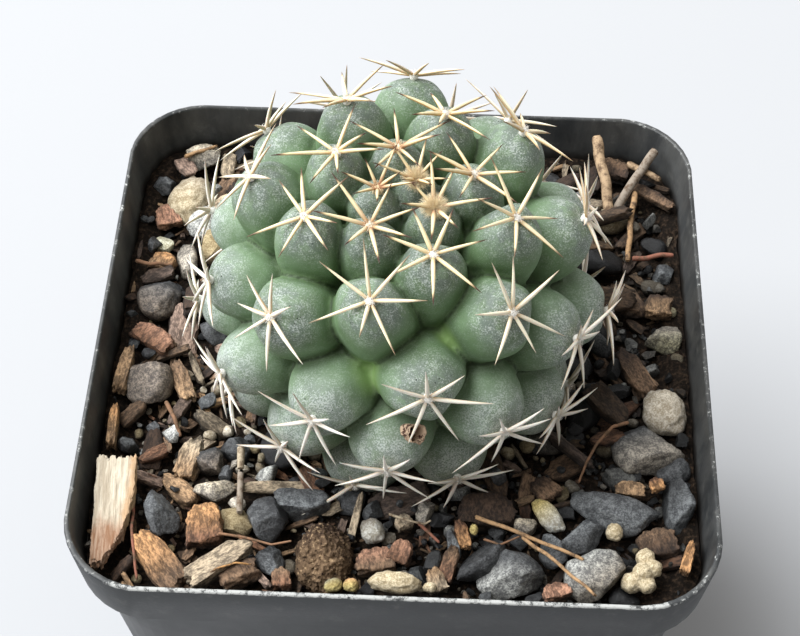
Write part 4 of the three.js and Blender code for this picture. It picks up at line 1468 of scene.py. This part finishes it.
stems = []
for tint, radius, end_radius, points in STEMS:
    stem = add_stem(radius, end_radius, points)
    add_attribute(stem.data, "tint", np.tile([*tint, 1], len(stem.data.vertices)), "FLOAT_COLOR", "color")
    stems.append(stem)
twigs = join(stems, "twigs_and_roots")
stem_finish, place = finish("dry_stems", {"Roughness": 0.8, "Specular IOR Level": 0.25})
tint = own_value(place, "tint", "Color")
marks = place.clouds(0.9 * mm, 5, 0.7)
marks.between(0.42, 0.66).mix(tint, STEM_MARKS).paint("Base Color")
marks.emboss(0.5, 0.1 * mm)
twigs.data.materials.append(stem_finish)
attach(twigs, "root")

# Gravel and crumbs
# The smaller bark, grit, pumice and charcoal of the mix, which fill the pot between the larger pieces.
# A handful of forms is made, and each copy is dropped to where it comes to rest on what lies there already.
# A grid of cells holds the heap's height, and the underside of the plant, which nothing may touch.

STONE_TINTS = [SLATE, BLUE_GREY, WARM_GREY, DARK_SLATE, CHARCOAL, LIGHT_GREY]
BARK_TINTS = [BARK_BROWN, DARK_BARK, PURPLE_BARK, BARK_BROWN, RUST_BARK, TAN_WOOD, DRY_WOOD]
PALE_TINTS = [PUMICE_CREAM, DUSTY_BEIGE, PUMICE_SAND, STONE_BEIGE]
# How many, the smallest and largest half length, the highest that they may reach, all in millimetres, and
# the share of their tint that they keep, lower for smaller pieces: partly the dark peat that coats them,
# partly painted shade in the gaps between the larger pieces.
BATCHES = [
    (95, 1.8, 3.3, 62.0, 0.95),
    (140, 1.1, 1.9, 61.4, 0.9),
    (260, 0.7, 1.1, 60.8, 0.7),
    (1100, 0.25, 0.6, 60.4, 0.6),
]
# The odds of a stone, of that or a chip, and of these or a stick. The rest is pumice.
STONE_ODDS = 0.38
CHIP_ODDS = 0.72
STICK_ODDS = 0.9
# Half sizes as shares of the half length, or the least and most of them.
STONE_WIDTHS = (0.55, 0.9)
STONE_HEIGHTS = (0.5, 0.75)
CHIP_WIDTHS = (0.35, 0.7)
CHIP_HEIGHTS = (0.2, 0.42)
CHIP_STRETCH = 1.2
STICK_HALF = (0.16, 1.0, 0.13)
STICK_STRETCH = 1.9
PUMICE_HALF = (0.7, 0.85, 0.6)
# How unevenly the pieces lie, in radians along and across their length.
LIE_ALONG = 0.35
LIE_ACROSS = 0.2
BARK_LEFT_OF = -9 * mm
BARK_BEHIND = 6 * mm
# The chance that a place is refused, on the stones' side and on the bark's side.
OUT_OF_PLACE = {"stone": (0.1, 0.75), "bark": (0.4, 0.0), "pale": (0.2, 0.4)}
# The least and most of its tint that a piece shows, its share in the middle, and how much it falls towards
# the
# right and rises towards the left: painted shade on the right side and painted light on the left.
TINT_SPREAD = (0.35, 1.3)
MIDDLE_SHADE = 1.05
SIDE_SHADE_SLOPE = 0.7
# The half size from which a piece gets one of the rougher forms, and the size of their faces.
LARGE = 1.7 * mm
LARGE_VOXEL = 0.26
LARGE_DENTS = (0.55, 0.16)
LARGE_GRIT = (0.25, 0.1)
LARGE_FIBRES = (0.25, 0.16)
LARGE_CUTS = 9
CRUMB_REACH = (0.4, 0.75)
CRUMB_UNEVEN = 0.16
CHIP_UNEVEN = 0.34
CELL = 0.4 * mm
HEAP_HALF = 33.4 * mm
HEAP_LEVEL = 57.6 * mm
# The soil's bank along the wall: its width and height.
BANK_WIDTH = 2.4 * mm
BANK_LEVEL = 0.8 * mm
# The room that the buried stem takes: how far below the plant's middle it is measured, and its radius.
STEM_DEPTH = 14 * mm
STEM_ROOM = 14.5 * mm
NEEDLE_ROOM = 0.3 * mm
TUBERCLE_ROOM = 1.04
# How many places are tried for a piece, how deep it sinks as a share of its half height, how much of its
# size rests on others, and how much of a larger piece's size is out of bounds.
TRIES = 14
SINK_SHARE = 0.2
REST_SHARE = 0.93
SETTLED_SHARE = 0.8
BRIGHTEST = 0.8


def simple_stone(seed, cuts):
    """A small stone or crumb of a few dozen faces, with some flat cuts."""
    draw = random.Random(seed)
    bpy.ops.mesh.primitive_ico_sphere_add(subdivisions=2, radius=1)
    stone = bpy.context.object
    bpy.ops.object.mode_set(mode="EDIT")
    bpy.ops.mesh.select_all(action="SELECT")
    bpy.ops.transform.vertex_random(offset=CRUMB_UNEVEN, seed=seed)
    for _ in range(cuts):
        normal = Vector([draw.gauss(0, 1) for _ in range(3)]).normalized()
        reach = normal * draw.uniform(*CRUMB_REACH)
        bpy.ops.mesh.select_all(action="SELECT")
        bpy.ops.mesh.bisect(plane_co=reach, plane_no=normal, use_fill=True, clear_outer=True)
    bpy.ops.object.mode_set(mode="OBJECT")
    centre_and_fill(stone)
    smooth_but(stone, 32)
    return stone


def simple_chip(seed):
    """A torn chip of a few dozen faces."""
    chip = tear_chip(seed, CHIP_UNEVEN)
    smooth_but(chip, 32)
    return chip


forms = {
    "stone": [simple_stone(10 + i, 5 + i % 3) for i in range(7)],
    "bark": [simple_chip(20 + i) for i in range(7)],
    "pale": [simple_stone(30 + i, 2) for i in range(3)],
}
large_forms = {
    "stone": [
        roughen(break_stone(60 + i, LARGE_CUTS), LARGE_VOXEL, LARGE_DENTS, LARGE_GRIT) for i in range(5)
    ],
    "bark": [roughen(tear_chip(70 + i), LARGE_VOXEL, CHIP_TEARS, LARGE_FIBRES) for i in range(5)],
    "pale": [simple_stone(80, 2)],
}
for form in large_forms["stone"] + large_forms["bark"]:
    centre_and_fill(form)
axis = np.arange(-HEAP_HALF, HEAP_HALF, CELL)
east, north = np.meshgrid(axis, axis, indexing="ij")
corner = CORNER_SHARE * HEAP_HALF
beyond = np.stack([abs(east), abs(north)]) - (HEAP_HALF - corner)
past_wall = np.hypot(*np.maximum(beyond, 0)) + np.minimum(beyond.max(0), 0) - corner
heap = np.full(east.shape, HEAP_LEVEL)
heap[past_wall > -BANK_WIDTH] += BANK_LEVEL
roof = np.full(east.shape, np.inf)
stem_middle = PLANT_PLACE + PLANT_LEAN @ Vector((0, 0, -STEM_DEPTH))
from_stem = np.hypot(east - stem_middle.x, north - stem_middle.y)
heap[(past_wall > 0) | (from_stem < STEM_ROOM)] = np.inf


def shell(axes):
    """The cells that an ellipsoid covers, from its middle, and its underside and top there."""
    spread = axes @ axes.T
    curve = np.linalg.inv(spread)
    reach = [int(math.sqrt(spread[k, k]) / CELL) + 1 for k in (0, 1)]
    i, j = np.meshgrid(*(np.arange(-r, r + 1) for r in reach), indexing="ij")
    x, y = i * CELL, j * CELL
    b = curve[0, 2] * x + curve[1, 2] * y
    c = curve[0, 0] * x * x + 2 * curve[0, 1] * x * y + curve[1, 1] * y * y - 1
    inside = b * b - curve[2, 2] * c > 0
    b, c = b[inside], c[inside]
    root = np.sqrt(b * b - curve[2, 2] * c)
    return i[inside], j[inside], (-b - root) / curve[2, 2], (-b + root) / curve[2, 2]


def cell_of(point):
    return [int(round((value + HEAP_HALF) / CELL)) for value in point[:2]]


def cells_at(i, j, middle):
    """The shell's cells round a middle cell, and which of them lie on the grid."""
    rows, columns = i + middle[0], j + middle[1]
    on_grid = (rows >= 0) & (columns >= 0) & (rows < len(axis)) & (columns < len(axis))
    return rows, columns, on_grid


for areole in areoles:
    axes = np.array(areole.turn) * areole.width * TUBERCLE_ROOM
    axes[:, 2] *= TUBERCLE_LENGTH
    i, j, under, _ = shell(axes)
    rows, columns, on_grid = cells_at(i, j, cell_of(areole.centre))
    rows, columns, under = rows[on_grid], columns[on_grid], under[on_grid]
    roof[rows, columns] = np.minimum(roof[rows, columns], areole.centre.z + under)
for start, end in needle_lines:
    for share in np.linspace(0.3, 1, 14):
        point = start.lerp(end, share)
        row, column = cell_of(point)
        near = (slice(row - 1, row + 2), slice(column - 1, column + 2))
        roof[near] = np.minimum(roof[near], point.z - NEEDLE_ROOM)
for matrix in settled:
    i, j, _, _ = shell(np.array(matrix.to_3x3()) * SETTLED_SHARE)
    rows, columns, on_grid = cells_at(i, j, cell_of(matrix.translation))
    heap[rows[on_grid], columns[on_grid]] = np.inf

laid = {kind: [] for kind in forms}


def drop(kind, half, turn, tints, draw, level, shade):
    """Drops a piece at the lowest of some random places. Bark lies mostly left and behind."""
    axes = np.array(turn) * np.array(half)
    i, j, under, top = shell(axes * REST_SHARE)
    best = None
    for _ in range(TRIES):
        middle = (draw.randrange(len(axis)), draw.randrange(len(axis)))
        bark_side = axis[middle[0]] < BARK_LEFT_OF or axis[middle[1]] > BARK_BEHIND
        if draw.random() < OUT_OF_PLACE[kind][bark_side]:
            continue
        rows, columns, on_grid = cells_at(i, j, middle)
        if not on_grid.all():
            continue
        rest = (heap[rows, columns] - under).max() - SINK_SHARE * half[2]
        if rest + top.max() > level or (rest + top > roof[rows, columns]).any():
            continue
        if best is None or rest < best[0]:
            best = (rest, middle, rows, columns)
    if best is None:
        return
    rest, middle, rows, columns = best
    heap[rows, columns] = np.maximum(heap[rows, columns], rest + top)
    spot = Vector((axis[middle[0]], axis[middle[1]], rest))
    matrix = Matrix.Translation(spot) @ turn.to_4x4() @ Matrix.Diagonal((*half, 1))
    # Painted shade and light: pieces darken towards the right side and lighten towards the left.
    side_shade = MIDDLE_SHADE - SIDE_SHADE_SLOPE * spot.x / HEAP_HALF
    # Smaller batches keep less of their tint: partly dark peat, partly painted shade between the larger
    # pieces.
    share = shade * draw.uniform(*TINT_SPREAD) * side_shade
    tint = [min(value * share, BRIGHTEST) for value in draw.choice(tints)]
    choice = large_forms if max(half) > LARGE else forms
    laid[kind].append(lay(draw.choice(choice[kind]), matrix, tint))


draw = random.Random(17)
for count, smallest, largest, level, shade in BATCHES:
    for _ in range(count):
        length = draw.uniform(smallest, largest) * mm
        lean = Matrix.Rotation(draw.gauss(0, LIE_ALONG), 3, "X")
        lean = lean @ Matrix.Rotation(draw.gauss(0, LIE_ACROSS), 3, "Y")
        turn = Matrix.Rotation(draw.uniform(0, FULL_TURN), 3, "Z") @ lean
        luck = draw.random()
        if luck < STONE_ODDS:
            kind, tints = "stone", STONE_TINTS
            half = (length * draw.uniform(*STONE_WIDTHS), length, length * draw.uniform(*STONE_HEIGHTS))
        elif luck < CHIP_ODDS:
            kind, tints = "bark", BARK_TINTS
            width = length * draw.uniform(*CHIP_WIDTHS)
            half = (width, length * CHIP_STRETCH, length * draw.uniform(*CHIP_HEIGHTS))
        elif luck < STICK_ODDS:
            kind, tints = "bark", BARK_TINTS
            half = tuple(STICK_STRETCH * length * share for share in STICK_HALF)
        else:
            kind, tints = "pale", PALE_TINTS
            half = tuple(length * share for share in PUMICE_HALF)
        drop(kind, half, turn, tints, draw, level * mm, shade)

batches = {
    "stone": ("gravel", "grey_stone", stone_finish),
    "bark": ("bark_bits", "bark", bark_finish),
    "pale": ("pumice_grit", "pale_stone", pale_finish),
}
for kind, copies in laid.items():
    name, slot, material = batches[kind]
    batch = join(copies, name)
    batch.data.materials.append(material)
    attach(batch, "root")
    for form in forms[kind] + large_forms[kind]:
        bpy.data.objects.remove(form)
